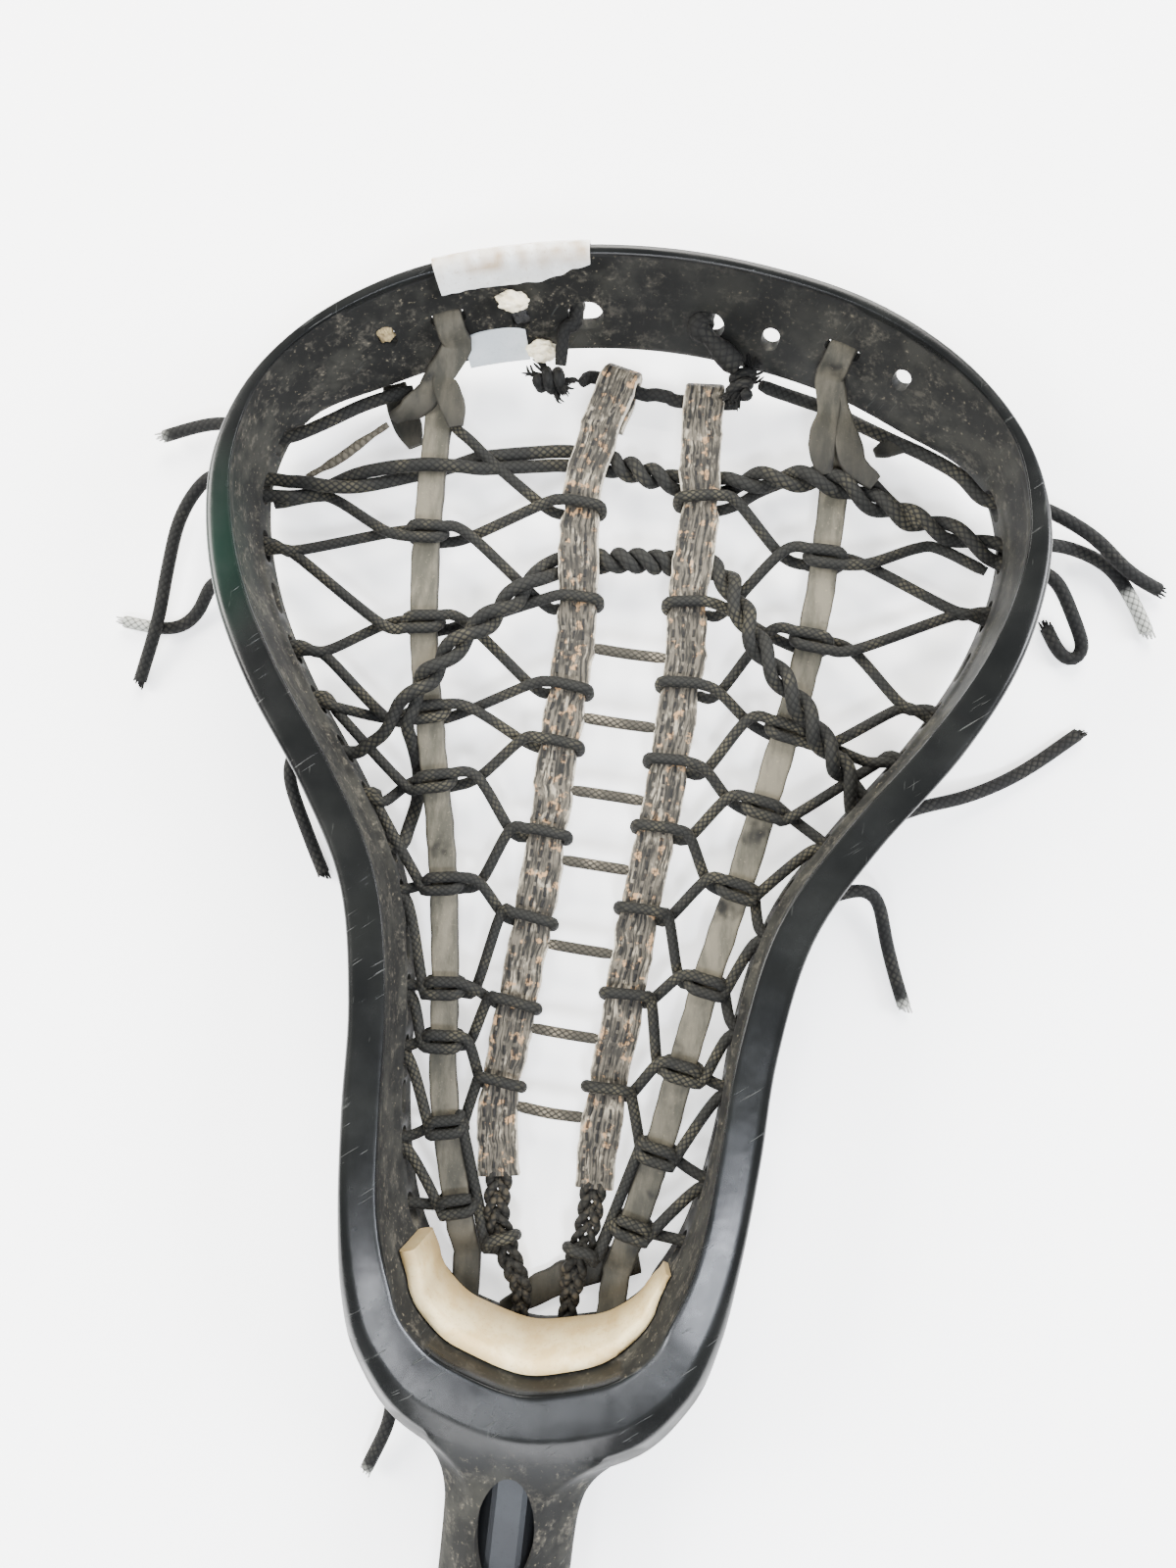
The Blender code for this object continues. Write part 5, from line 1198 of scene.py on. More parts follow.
@dataclass
class Thong:
    """A leather thong: through the scoop's slot, down the pocket and through the throat.

    The lobes and the tab of the folded top are places read from the photograph,
    and a row of the spare end also holds its width.
    """

    side: int
    width: float = 7.6
    thickness: float = 2.2
    slot_x: float = 51.5
    slot_z: float = 23.0
    hole_x: float = 19.5
    hole_z: float = 5.0
    fold_shares: tuple = (0.8, 0.95, 0.9, 0.55)
    tab_shares: tuple = (0.9, 1.0, 1.0, 0.55)
    spare: tuple = ((25.5, -111, 1.9, 8), (17, -113.6, 2, 8.6), (8, -117.6, 1.9, 8.2), (-1, -123.4, 1.8, 7),
                    (-9, -129.5, 1.7, 4))
    left_lobes: tuple = (
        ((-53.3, 118.5, 13.6), (-51.6, 114.5, 13.8), (-49.4, 109.8, 13.4), (-48.3, 105.4, 12.6)),
        ((-55.2, 118.5, 13.4), (-57.2, 113.4, 12.6), (-61.5, 109.6, 11.4), (-66.6, 107.2, 9.6)))
    right_lobes: tuple = (
        ((50.6, 118, 13.6), (49.7, 112.2, 14.4), (49.8, 107, 14.2), (51.4, 101.2, 13.2)),
        ((53.2, 118, 13.4), (56.2, 110.5, 14), (58.6, 104, 14.6), (64.6, 99.9, 14.2)))
    left_tab: tuple = ((-68.5, 118, 5.2), (-66.2, 111.9, 5), (-63, 106, 4.8), (-60.7, 101.5, 4.8))
    right_tab: tuple = ((72.2, 113.6, 5.2), (69.5, 112.8, 5), (66.8, 112, 4.8), (64.8, 111, 4.6))

    @property
    def name(self) -> str:
        """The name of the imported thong."""
        return "outer_thong_" + SIDE_NAMES[self.side]

    def height(self, y: float) -> float:
        """Give the thong's height along the pocket."""
        share = clamp((y + 105.5) / -11.5)
        return POCKET_Z - 4.5 * share * share * (3 - 2 * share)

    def leather(self, name: str, stations: Sequence[Station], ragged: float, seed: float, dark: float,
                start: float = 0.0, per_mm: float = 0.0, spacing: float = 1.6,
                nodes: Sequence[str] = ()) -> None:
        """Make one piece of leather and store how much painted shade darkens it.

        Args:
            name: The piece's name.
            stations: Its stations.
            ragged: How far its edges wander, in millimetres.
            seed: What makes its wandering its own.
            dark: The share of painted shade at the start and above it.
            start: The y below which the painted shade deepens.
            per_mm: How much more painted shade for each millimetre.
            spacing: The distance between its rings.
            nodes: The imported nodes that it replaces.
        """
        piece = finish_piece(name, strap_body(stations, spacing, ragged, seed), Finish.LEATHER, nodes)
        # The stored number is painted shade, not mud: it darkens the leather.
        note(piece, "mud", lambda vert: min(dark + max(start - on_head(vert)[1], 0.0) * per_mm, 0.85))

    def build(self) -> None:
        """Make the long strap, the spare end behind the throat and the folded top."""
        stations = []
        rows = smooth_rows([(x, y, 0.0) for x, y in THONGS[self.side]], 2.2)
        for first, second in zip(rows, rows[1:]):
            run = Vector((second[0] - first[0], second[1] - first[1]))
            wide = self.width * pinch(first[1], THONG_TURNS[self.side], 0.1)
            stations.append(Station(Vector((first[0], first[1], self.height(first[1]))),
                                    aside(run), wide, self.thickness))
        wall_y = RIM.throat_wall(self.hole_x, self.hole_z)
        across = Vector((math.copysign(1.0, stations[-1].across.x), 0.0, 0.0))
        for depth, share in ((0.0, 1.0), (7.2, 1.0), (9.0, 1.15), (13.0, 1.15), (14.5, 0.85)):
            stations.append(Station(Vector((self.side * self.hole_x, wall_y - depth, self.hole_z)), across,
                                    self.width * share, self.thickness))
        # The strap's painted shade deepens from y -30 towards the throat.
        self.leather(self.name + "_strap", stations, 0.35, 1.0 + self.side, 0.0, -30.0, 0.007, 2.2,
                     (self.name,))
        if self.side > 0:
            ends = [Station(Vector(row[:3]), Vector((0.35, 1.0, 0.0)), row[3], 2.0) for row in self.spare]
            # The spare end behind the throat is painted deep in shade.
            self.leather(self.name + "_spare_end", ends, 0.8, 21.0, 0.72)
        self.slot_fold()

    def slot_fold(self) -> None:
        """Make the folded top, which hangs from the slot in two lobes, and the tab behind the wall."""
        edge, normal, row = RIM.frame(RIM.scoop_place(self.slot_x, self.slot_z))
        across = Vector((self.side * normal.y, -normal.x, 0.0))
        across = across if across.x * self.side >= 0 else -across
        left = self.side < 0
        outer = -(RIM.rail + 1.4)
        top = []
        for height, gap, share in (
                (9.0, outer, 1.0), (15.0, outer, 1.0), (self.slot_z - 1.4, outer - 1.0, 1.0),
                (self.slot_z, outer + 0.8, 1.0), (self.slot_z, 0.8, 1.0), (self.slot_z - 1.8, 2.6, 1.0),
                (17.0, 3.0, 1.02)):
            place = edge + normal * (RIM.depth(row, height) + gap)
            top.append(Station(Vector((self.side * place.x, place.y, height)), across, self.width * share,
                               self.thickness))
        for number, lobe in enumerate(self.left_lobes if left else self.right_lobes):
            fold = [Station(Vector(point), across, self.width * share, self.thickness * 0.9)
                    for point, share in zip(lobe, self.fold_shares)]
            stations = (top[-1:] if number else top) + fold
            # Each lobe's painted shade deepens downwards from y 118.
            self.leather(f"{self.name}_fold_{number + 1}", stations, 0.3, 3.0 + number, 0.46, 118.0, 0.03)
        tab = self.left_tab if left else self.right_tab
        direction = Vector(tab[-1]) - Vector(tab[0])
        sideways = aside(direction)
        wide = self.width * (1.0 if left else 0.6)
        stations = [Station(Vector(point), sideways, wide * share, self.thickness * 0.8)
                    for point, share in zip(tab, self.tab_shares)]
        # The tab behind the wall is painted deep in shade.
        self.leather(self.name + "_tab", stations, 0.25, 8.0, 0.75)


def plait_points(side: int) -> list[tuple[float, float, float]]:
    """Give the middle of the woven cord that carries on below a runner."""
    end_x, end_y = RUNNERS[side][-1]
    x = 2.0 + side * 6.4
    wall_y = RIM.throat_wall(7.0, 5.0)
    return [(end_x, end_y + 2.5, POCKET_Z - 0.6), (end_x, end_y - 0.6, POCKET_Z),
            (end_x * 0.95, end_y - 11.0, POCKET_Z), (end_x * 0.5 + x * 0.4, end_y - 21.0, POCKET_Z - 0.4),
            (x, wall_y + 9.0, 6.6), (x, wall_y + 2.0, 5.0), (x, wall_y - 6.4, 5.0)]


@dataclass
class Runner:
    """A stitched runner with its folded top and the plaited cord that carries on below it."""

    side: int
    width: float = 10.8
    thickness: float = 3.0
    strands: int = 4
    lay: float = 17.0

    def build(self) -> None:
        """Make the runner, its fold and the plait."""
        name = "inner_runner_" + SIDE_NAMES[self.side]
        rows = smooth_rows([(x, y, 0.0) for x, y in RUNNERS[self.side]], 2.0)
        first_run = Vector((rows[1][0] - rows[0][0], rows[1][1] - rows[0][1])).normalized()
        across = aside(first_run)
        turn = STRING / 2 + 0.3 + self.thickness / 2
        top = Vector((rows[0][0], rows[0][1], POCKET_Z - turn))
        back = -Vector((first_run.x, first_run.y, 0.0))
        stations = [Station(top - back * 11.0 - Vector((0, 0, turn)), across, self.width, self.thickness)]
        for step in range(5):
            angle = -math.pi / 2 + math.pi * step / 5
            middle = top + back * turn * math.cos(angle) + Vector((0, 0, turn * math.sin(angle)))
            stations.append(Station(middle, across, self.width * 0.96, self.thickness))
        for index, row in enumerate(rows):
            ahead = rows[min(index + 1, len(rows) - 1)]
            behind = rows[max(index - 1, 0)]
            run = Vector((ahead[0] - behind[0], ahead[1] - behind[1]))
            sway = 0.5 * wobble(Vector((row[0], row[1], 0.0)), 11.0, self.side * 4.0)
            middle = Vector((row[0] + sway, row[1], POCKET_Z + 0.2 * wobble(Vector(row[:3]), 9.0, 6.0)))
            wide = self.width * pinch(row[1], RUNNER_TURNS[self.side], 0.14)
            stations.append(Station(middle, aside(run), wide, self.thickness))
        body = strap_body(stations, 1.5, 0.7, 10.0 + self.side)
        finish_piece(name + "_webbing", body, Finish.RUNNER, (name,))
        self.plait()

    def plait(self) -> None:
        """Make the woven cord: strands that cross over and under each other."""
        name = "runner_cord_" + SIDE_NAMES[self.side]
        route = smooth_route(plait_points(self.side), 0.8)
        lengths = distances(route)
        builder = bmesh.new()
        for strand in range(self.strands):
            path = []
            for index, middle in enumerate(route):
                across = aside(run_at(route, index)).normalized()
                phase = math.tau * (lengths[index] / self.lay + strand / self.strands)
                narrow = 2.5 - 0.9 * clamp((lengths[index] - lengths[-1] * 0.45) / (lengths[-1] * 0.3))
                rise = Vector((0, 0, 0.8 * math.sin(2 * phase)))
                path.append(middle + across * narrow * math.sin(phase) + rise)
            merge(builder, cord_body(path, 2.2, 9, (1.0, 1.0), 0.25))
        finish_piece(name + "_plait", builder, Finish.PLAIT, (name,))


@dataclass
class PocketStrings:
    """The laces, rungs, shooting strings and scoop strings of the pocket.

    A row of a shooting string is x, y, z, the half turns of its twisted pair so
    far, and the strands' distance from the line between them.
    """

    half_thong: float = 3.6
    half_runner: float = 4.6
    half_plait: float = 2.5
    strand: float = 1.7
    reach: float = 8.0
    thong_lift: float = 2.9
    wall_starts: tuple = (((-97.2, 80.6, 8), (-86, 84, 7.6), (-80, 83.5, 7.6)),
                          ((96.6, 80.8, 8), (84, 86, 7), (78, 85.4, 7.4)))
    pocket_starts: tuple = (((-49.5, 106, 10.6), (-44.5, 102.8, 10), (-37, 97, 8.8)),
                            ((57, 107.5, 8.5), (48, 103.5, 6.4), (36, 98, 4.5)))
    rung_heights: tuple = (49.3, 30.4, 10.7, -8.1, -30.6, -53.2, -74.0)
    upper: tuple = (
        (-91.7, 85, 9.7, 0.1, 2), (-82, 86.8, 9.8, 0.6, 1.85), (-70.3, 90.2, 9.8, 1.15, 1.85),
        (-62, 92.6, 9.6, 1.4, 2.6), (-54.4, 94.4, 9.5, 1.5, 3.3), (-46, 96.1, 9.4, 1.65, 2.9),
        (-38.8, 97.8, 8.2, 1.9, 2), (-28, 100.2, 6.2, 2, 1.9), (-18, 101.6, 5.8, 2, 2),
        (-7, 101.2, 5.8, 2, 2), (-1.5, 100, 7, 2.9, 1.85), (4.5, 98.6, 7.6, 3.9, 1.85),
        (10, 97.9, 6.6, 4.8, 1.85), (14, 97.4, 5.8, 5, 1.95), (20, 97.3, 5.8, 5, 1.95),
        (26, 98.1, 6.6, 5.2, 1.9), (34, 99.4, 9, 6, 1.85),
        (43, 99.8, 11.6, 6.9, 1.85), (53.5, 99.4, 12.9, 8, 1.9), (63, 96, 12, 8.9, 1.85),
        (73, 93, 11, 9.9, 1.85), (83, 90.6, 10.3, 10.9, 1.85))
    lower: tuple = (
        (-52.4, 27.6, 14.6, 0.1, 2.1), (-49.8, 32.6, 15.6, 0.5, 1.85), (-45.1, 39, 16.2, 1.4, 1.85),
        (-39.4, 46.7, 16.4, 2.3, 1.85), (-32.5, 53.8, 15.6, 3.2, 1.85), (-27.6, 59.6, 14.2, 4, 1.85),
        (-22.8, 66, 11, 4.7, 1.85), (-18, 71, 6.8, 5, 1.85), (-12, 73.6, 5.8, 5, 1.95),
        (-5.5, 74.1, 6.2, 5.2, 1.9), (-1, 74.3, 8, 6, 1.85), (4, 74.6, 8.6, 7, 1.85), (9, 74.9, 7.8, 8, 1.85),
        (13.5, 75.4, 6, 9, 1.9), (20, 75.8, 5.8, 9, 1.95), (26.2, 74.6, 7.2, 9.4, 1.9),
        (30, 69.6, 11, 10.2, 1.85), (33.6, 62.4, 14.6, 11, 1.85), (37.8, 55, 16, 11.9, 1.85),
        (43.5, 47.8, 16.4, 12.8, 1.85), (49.5, 41, 16.4, 13.7, 1.85), (55, 34.3, 15.6, 14.6, 1.85),
        (60.3, 27.6, 14, 15.5, 1.85), (66, 21.8, 11.6, 16.5, 1.85))
    lower_leads: tuple = (((-63, 16.4, 10.8), (-57.6, 21, 12.6)),
                          ((-49.4, -3.6, 6.2), (-48.2, 4.1, 5.2), (-48.8, 11.4, 5.2), (-50.4, 18.2, 8.6),
                           (-51.8, 23.2, 12.6)))
    scoop_left: tuple = ((-85.2, 104.2, 9.8), (-76.2, 109.6, 9.6), (-68.5, 113.2, 9.4), (-62, 115.6, 9.2))
    scoop_right: tuple = ((87, 106, 8), (78, 111, 6.4), (68.4, 115.4, 4.2), (59.9, 119.4, 2.4),
                          (52.1, 122.7, 2.2), (42.8, 124.6, 3.6), (35.6, 125.2, 6.6), (32.4, 125.3, 9))
    frayed: tuple = ((-88.2, 88.5, 10.6), (-80, 94, 11), (-74, 99.6, 10.6), (-67.7, 105.2, 10))
    beside_thong: tuple = ((62, 103.5, 10), (70, 96, 10.8), (77.5, 90.5, 11.6))

    def cord(self, name: str, points: Sequence[Sequence[float]], diameter: float, finish: Finish,
             nodes: Sequence[str] = (), ragged: float = 0.0) -> bpy.types.Object:
        """Make one smooth braided cord through points."""
        body = cord_body(smooth_route(points, 1.2), diameter, 10, (0.8, 0.8), ragged)
        return finish_piece(name, body, finish, nodes)

    def eye(self, strap: tuple[Vector, Vector], half: float, lift: float, gap: float, front_first: bool,
            near_low: float, far_shift: float = 1.0) -> list[Vector]:
        """Give a lace's turn round a strap, from the crossing beside it and back there.

        Args:
            strap: The strap's middle, and the unit direction to its far edge.
            half: Half the strap's width.
            lift: How far the lace's middle is above or below the strap's middle.
            gap: How far the crossing is from the near edge.
            front_first: Whether the lace passes the front before the back.
            near_low: Which way, along the strap, the first pass is shifted.
            far_shift: The share of the shift on the far side.

        Returns:
            The points.
        """
        centre = Vector((strap[0].x, strap[0].y, POCKET_Z))
        out = Vector((strap[1].x, strap[1].y, 0.0))
        along = aside(out)
        first = (-along if along.y < 0 else along) * near_low
        front = 1.0 if front_first else -1.0
        crossing = centre - out * (half + gap)
        raised = Vector((0.0, 0.0, 1.6 * front))
        up = Vector((0.0, 0.0, lift * front))
        passes = ((-half - 0.7, 0.95, 0.93), (-half * 0.5, 1.0, 1.0), (half - 0.8, far_shift, 1.0),
                  (half + 0.7, 0.5, 0.62))
        over = [centre + out * place + first * shift + up * share for place, shift, share in passes]
        under = [centre + out * place - first * shift - up * share
                 for place, shift, share in reversed(passes)]
        return [crossing + raised, *over, centre + out * (half + 1.05), *under, crossing - raised]

    def wall_hole(self, side: int, y: float, room: float, source: Vector) -> list[Vector]:
        """Give a lace's half twist to a wall hole, its run through it and the twist back.

        Args:
            side: -1 for left, 1 for right.
            y: The hole's y.
            room: The gap between the thong and the wall.
            source: Where the two strands come from, between the thong's crossings.

        Returns:
            The points.
        """
        centre, outward, along = RIM.hole(side, y)
        face = RIM.rail / 2
        inside, outside = centre - outward * (face + 0.6), centre + outward * (face + 2.1)
        back = source - inside
        back.z = 0.0
        back.normalize()
        across = aside(back)
        across = across if across.dot(along) > 0 else -across
        twist = min(9.5, room * 0.3)
        meeting, middle = inside + back * twist, inside + back * twist * 0.5
        up = Vector((0, 0, 1.3))
        half = along * 1.5
        if room < 12.0:
            return [inside + half, outside + half, outside - half, inside - half]
        return [meeting + across * 1.3, middle + up, inside - across * 1.1, outside - half, outside + half,
                inside + across * 1.1, middle - up, meeting - across * 1.3]

    @staticmethod
    def facing(points: Sequence[Sequence[float]], y: float, way: int) -> tuple[Vector, Vector]:
        """Give a strap's middle at a y and the direction across it that faces a way, -1 or 1."""
        middle, across = line_at(points, y)
        return middle, across if across.x * way > 0 else -across

    def wall_lace(self, side: int) -> None:
        """Make the lace between the wall and the outer thong."""
        name = "wall_lace_" + SIDE_NAMES[side]
        points = [Vector(point) for point in self.wall_starts[side > 0]]
        turns = THONG_TURNS[side]
        for y, below, hole in zip(turns, turns[1:] + (turns[-1] - 8.0,), LACE_HOLES):
            thong = self.facing(THONGS[side], y, -side)
            room = abs(RIM.hole(side, hole)[0].x - thong[0].x) - self.half_thong - RIM.rail / 2
            gap = min(self.reach, room * (0.34 if y > -75.0 else 0.12))
            points += self.eye(thong, self.half_thong, self.thong_lift, gap, True, -self.strand)
            source = (thong[0] + line_at(THONGS[side], below)[0]).to_3d() / 2
            source.x += side * (self.half_thong + gap)
            points += self.wall_hole(side, hole, room, source)
        self.cord(name + "_braid", points[:-2], LACE, Finish.LACE, (name,))

    def pocket_lace(self, side: int) -> None:
        """Make the lace between the outer thong and the runner, whose last turn is round the plait."""
        name = "pocket_lace_" + SIDE_NAMES[side]
        points = [Vector(point) for point in self.pocket_starts[side > 0]]
        for runner_y, thong_y in zip(RUNNER_TURNS[side] + (CORD_TURN[side],), THONG_TURNS[side]):
            last = runner_y == CORD_TURN[side]
            line = [point[:2] for point in plait_points(side)[1:]] if last else RUNNERS[side]
            runner = self.facing(line, runner_y, -side)
            thong = self.facing(THONGS[side], thong_y, side)
            half = self.half_plait if last else self.half_runner
            lift = (2.0 if last else 1.5) + 0.3 + LACE / 2
            room = abs(thong[0].x - runner[0].x) - half - self.half_thong
            points += self.eye(runner, half, lift, min(5.5, room * 0.3), False, -1.3, 0.6)
            gap = min(self.reach, room * (0.34 if thong_y > -75.0 else 0.16))
            points += self.eye(thong, self.half_thong, self.thong_lift, gap, False, -self.strand)
        self.cord(name + "_braid", points[:-1], LACE, Finish.LACE, (name,))

    @staticmethod
    def twist_pair(keys: Sequence[Sequence[float]]) -> tuple[Route, Route]:
        """Twist two strands round a line.

        Args:
            keys: Rows of x, y, z, half turns and the strands' distance from the line.

        Returns:
            The two strands' points.
        """
        rows = smooth_rows(keys, 1.2)
        middles = [Vector(row[:3]) for row in rows]
        strands: tuple[Route, Route] = ([], [])
        for index, row in enumerate(rows):
            run = run_at(middles, index).normalized()
            side = Vector((0, 0, 1)).cross(run).normalized()
            upward = run.cross(side)
            angle = math.pi * row[3]
            push = (side * math.cos(angle) + upward * math.sin(angle)) * row[4]
            strands[0].append(middles[index] + push)
            strands[1].append(middles[index] - push)
        return strands

    def shooting_strings(self) -> None:
        """Make the upper and the lower pair, which weave over and under the runners."""
        left, right, low_right = RIM.hole(-1, 84.5)[0], RIM.hole(1, 84.5)[0], RIM.hole(1, 15.5)[0]
        upper = ((left.x, left.y, 9.5, 0.0, 2.3), (left.x + 4, left.y + 0.2, 9.5, 0.0, 2.3), *self.upper,
                 (right.x - 4, right.y + 1.4, 9.6, 12.0, 2.2), (right.x, right.y, 9.5, 12.0, 2.3))
        for letter, route in zip("ab", self.twist_pair(upper)):
            self.shooting_string("upper_shooting_string_" + letter, route)
        pair = self.twist_pair((*self.lower, (low_right.x, low_right.y, 9.5, 17.0, 2.3)))
        for letter, route, lead, hole_y, step in zip("ab", pair, self.lower_leads, (15.5, -9.5),
                                                     ((5.0, 0.4, 9.8), (4.0, 1.6, 8.6))):
            hole = RIM.hole(-1, hole_y)[0]
            first = (hole.x + step[0], hole.y + step[1], step[2])
            self.shooting_string("lower_shooting_string_" + letter,
                                 smooth_route([hole, first, *lead, route[0]])[:-1] + route)

    @staticmethod
    def shooting_string(name: str, route: Route) -> None:
        """Make one strand of a pair."""
        finish_piece(name + "_braid", cord_body(smooth_route(route, 1.2), STRING, 12), Finish.STRING, (name,))

    def scoop_strings(self) -> None:
        """Make the cords along the back edge of the scoop."""
        for side, height, points in ((-1, 9.6, self.scoop_left), (1, 9.2, self.scoop_right)):
            hole = RIM.hole(side, 98.0)[0]
            name = "scoop_string_" + SIDE_NAMES[side]
            self.cord(name + "_braid", [hole, (hole.x - side * 5, hole.y + 1.5, height), *points], STRING,
                      Finish.STRING, (name,))

    def rungs(self) -> None:
        """Make the cross stitches between the runners."""
        for number, y in enumerate(self.rung_heights):
            left, _ = line_at(RUNNERS[-1], y + 0.4)
            right, _ = line_at(RUNNERS[1], y - 0.4)
            low = Vector((left.x + self.half_runner, left.y, POCKET_Z))
            high = Vector((right.x - self.half_runner, right.y, POCKET_Z))
            middle = low.lerp(high, 0.5) + Vector((0.0, 0.7 * wobble(low, 9.0, 3.0), 0.4))
            name = f"ladder_rung_{number + 1}"
            self.cord(name + "_braid", [low, middle, high], LACE, Finish.RUNG, (name,))

    def build(self) -> None:
        """Make every string of the pocket, and two worn strands that lie loose in it."""
        for side in (-1, 1):
            self.wall_lace(side)
            self.pocket_lace(side)
        self.rungs()
        self.shooting_strings()
        self.scoop_strings()
        self.cord("frayed_strand_upper", self.frayed, 2.2, Finish.FRAYED, (), 0.5)
        self.cord("right_thong_strand", self.beside_thong, LACE, Finish.LACE)


@dataclass
class ScoopTies:
    """What hangs the runners from the scoop, and what is stuck to the scoop.

    Where a value differs from left to right, the left one comes first.
    """

    hole_x: float = 16.0
    hole_z: float = 18.8
    knots: tuple = ((-24.2, 121.3, 10.4), (27.2, 124.2, 11.5))
    knot_axes: tuple = ((1, 0, 0), (0, 1, 0))
    tie_ends: tuple = ((2.5, 2.8, 3.6), (-1.6, 2.6, 4.1))
    tie_shifts: tuple = ((-2.6, -0.4, -1), (-1.2, 0, 0))
    tie_diameters: tuple = (3.6, 6.0)
    tape_ends: tuple = (-14.6, -53.0)
    tape_reach: float = 6.3
    tape_torn: float = 0.34
    strip_ends: tuple = (-31.5, -48.0)
    strip_rise: float = 11.0
    fillers: tuple = (("filler_lump_upper", (-34.3, 134.6, 26.8), (4.4, 2.6, 3)),
                      ("filler_lump_lower", (-27, 128.2, 12.8), (4.6, 2.8, 3.5)))
    plugs: tuple = (("dust_plug", 67.0, 23.0, Finish.DUST), ("dirt_plug", 33.0, 19.0, Finish.RUBBER))
    plug_radii: tuple = (2.6, 2.4, 3.6)

    def build(self) -> None:
        """Make the ties, knots, tape and lumps."""
        strings = PocketStrings()
        self.top_cord(strings)
        deep = RIM.rail / 2
        for side, place, axis, end, shift, diameter in zip((-1, 1), self.knots, self.knot_axes, self.tie_ends,
                                                           self.tie_shifts, self.tie_diameters):
            knot = Vector(place)
            self.knot("runner_knot_" + SIDE_NAMES[side], knot, Vector(axis))
            centre, outward, _ = RIM.wall_frame(RIM.scoop_place(self.hole_x, self.hole_z), self.hole_z, side)
            centre = centre + Vector(shift)
            tie = [centre + outward * (deep + 3.2) - Vector((0, 0, 9)), centre + outward * (deep + 3.0),
                   centre - outward * (deep + 1.0),
                   centre - outward * (deep + 3.6) + Vector((side * 3, 0, 0)), knot + Vector(end)]
            name = "runner_tie_" + SIDE_NAMES[side]
            strings.cord(name + "_braid", tie, diameter, Finish.TAIL, (name,), 0.45)
        self.tape()
        self.strip()
        self.lumps()

    @staticmethod
    def top_cord(strings: PocketStrings) -> None:
        """Make the cord that runs through the folds of both runners' tops."""
        turn = STRING / 2 + 0.3 + 1.5
        ends = []
        for side in (-1, 1):
            rows = smooth_rows([(x, y, 0.0) for x, y in RUNNERS[side]], 9.0)
            run = Vector((rows[1][0] - rows[0][0], rows[1][1] - rows[0][1], 0.0)).normalized()
            across = aside(run)
            across = across if across.x > 0 else -across
            middle = Vector((rows[0][0], rows[0][1], POCKET_Z - turn))
            ends.append((middle - across * 7.0, middle + across * 7.0, across))
        (left_a, left_b, across_l), (right_a, right_b, across_r) = ends
        outer_l = left_a - across_l * 3.2 + Vector((0.0, -3.4, 2.1))
        outer_r = right_b + across_r * 1.9 - Vector((0.0, 0.0, 0.7))
        points = [outer_l, left_a, left_b, (3.9, 121.3, 6.3), (8.2, 120.8, 6.3), right_a, right_b, outer_r]
        strings.cord("runner_top_cord_braid", points, STRING, Finish.TAIL, ("runner_top_cord",))

    @staticmethod
    def knot(name: str, centre: Vector, axis: Vector) -> None:
        """Make a barrel knot with many loose yarns, as a worn cord end has.

        Args:
            name: The knot's name.
            centre: Its middle in millimetres.
            axis: The direction of its core.
        """
        upward = axis.cross(Vector((0.0, 0.0, 1.0)))
        turns, steps, yarns, golden = 2.5, 72, 46, 0.381966
        route = []
        for step in range(steps + 1):
            turn = turns * step / steps
            angle = math.tau * turn
            push = Vector((0.0, 0.0, math.cos(angle))) + upward * math.sin(angle)
            push *= 2.0 + 0.35 * math.sin(3.1 * angle)
            route.append(centre + axis * 3.0 * (turn - turns / 2) + push)
        builder = cord_body(route, 3.1, 10, (0.5, 0.5), 0.35)
        for strand in range(yarns):
            angle = 2.4 * strand
            rise = 1.0 - 2.0 * ((strand * golden) % 1.0)
            flat = math.sqrt(1.0 - rise * rise)
            direction = (axis * rise * 1.3 + Vector((0.0, 0.0, 0.7 * flat * math.cos(angle)))
                         + upward * flat * math.sin(angle))
            begin = centre + direction * 2.2
            tip = centre + direction * (4.4 + 2.3 * abs(math.sin(7.0 * angle)))
            bend = Vector((math.sin(3 * angle), math.cos(5 * angle), math.sin(2 * angle))) * 0.9
            yarn = smooth_route([begin, begin.lerp(tip, 0.6) + bend, tip], 0.8)
            merge(builder, cord_body(yarn, 0.8, 5, (1.0, 0.4)))
        finish_piece(name + "_braid", builder, Finish.TAIL, (name,))

    def tape(self) -> None:
        """Make the tape over the edge of the scoop, torn narrow at its right end."""
        low, high = (RIM.scoop_place(x, 36.0) for x in self.tape_ends)
        steps = 60
        rings = []
        for step in range(steps + 1):
            share = step / steps
            edge, normal, row = RIM.frame(low + (high - low) * share)
            front, drop = row[3], row[8]
            torn = min(share / self.tape_torn, 1.0)
            ragged = wobble(Vector((edge.x, 0.0, 0.0)), 3.0, 1.0)
            reach = self.tape_reach * (0.34 + 0.66 * torn) + ragged * 0.9 * (1.5 - torn) - 0.3 * share
            puff = 0.2 + 0.2 * wobble(Vector((edge.x, 5.0, 0.0)), 5.0, 4.0)
            foot = RIM.depth(row, front - reach)
            inner, outer = ([
                (foot + gap, front - reach),
                (RIM.depth(row, front - reach / 2) + gap * 1.1, front - reach / 2),
                (RIM.depth(row, front - 0.7) + gap, front - 0.7),
                (row[2] - 0.7 + gap * 0.4, front + gap),
                (row[7] - gap * 0.4, front + gap),
                (-gap, front - drop),
                (-gap, front - 3.2),
                (foot - RIM.wall - 0.9 - gap, front - reach),
            ] for gap in (0.3, 0.9 + puff))
            rings.append(rim_ring(edge, normal, inner + outer[::-1], -1))
        piece = finish_piece("rim_tape_cloth", skin(rings), Finish.TAPE, ("rim_tape",), 60.0)
        note(piece, "mud", self.grubby)

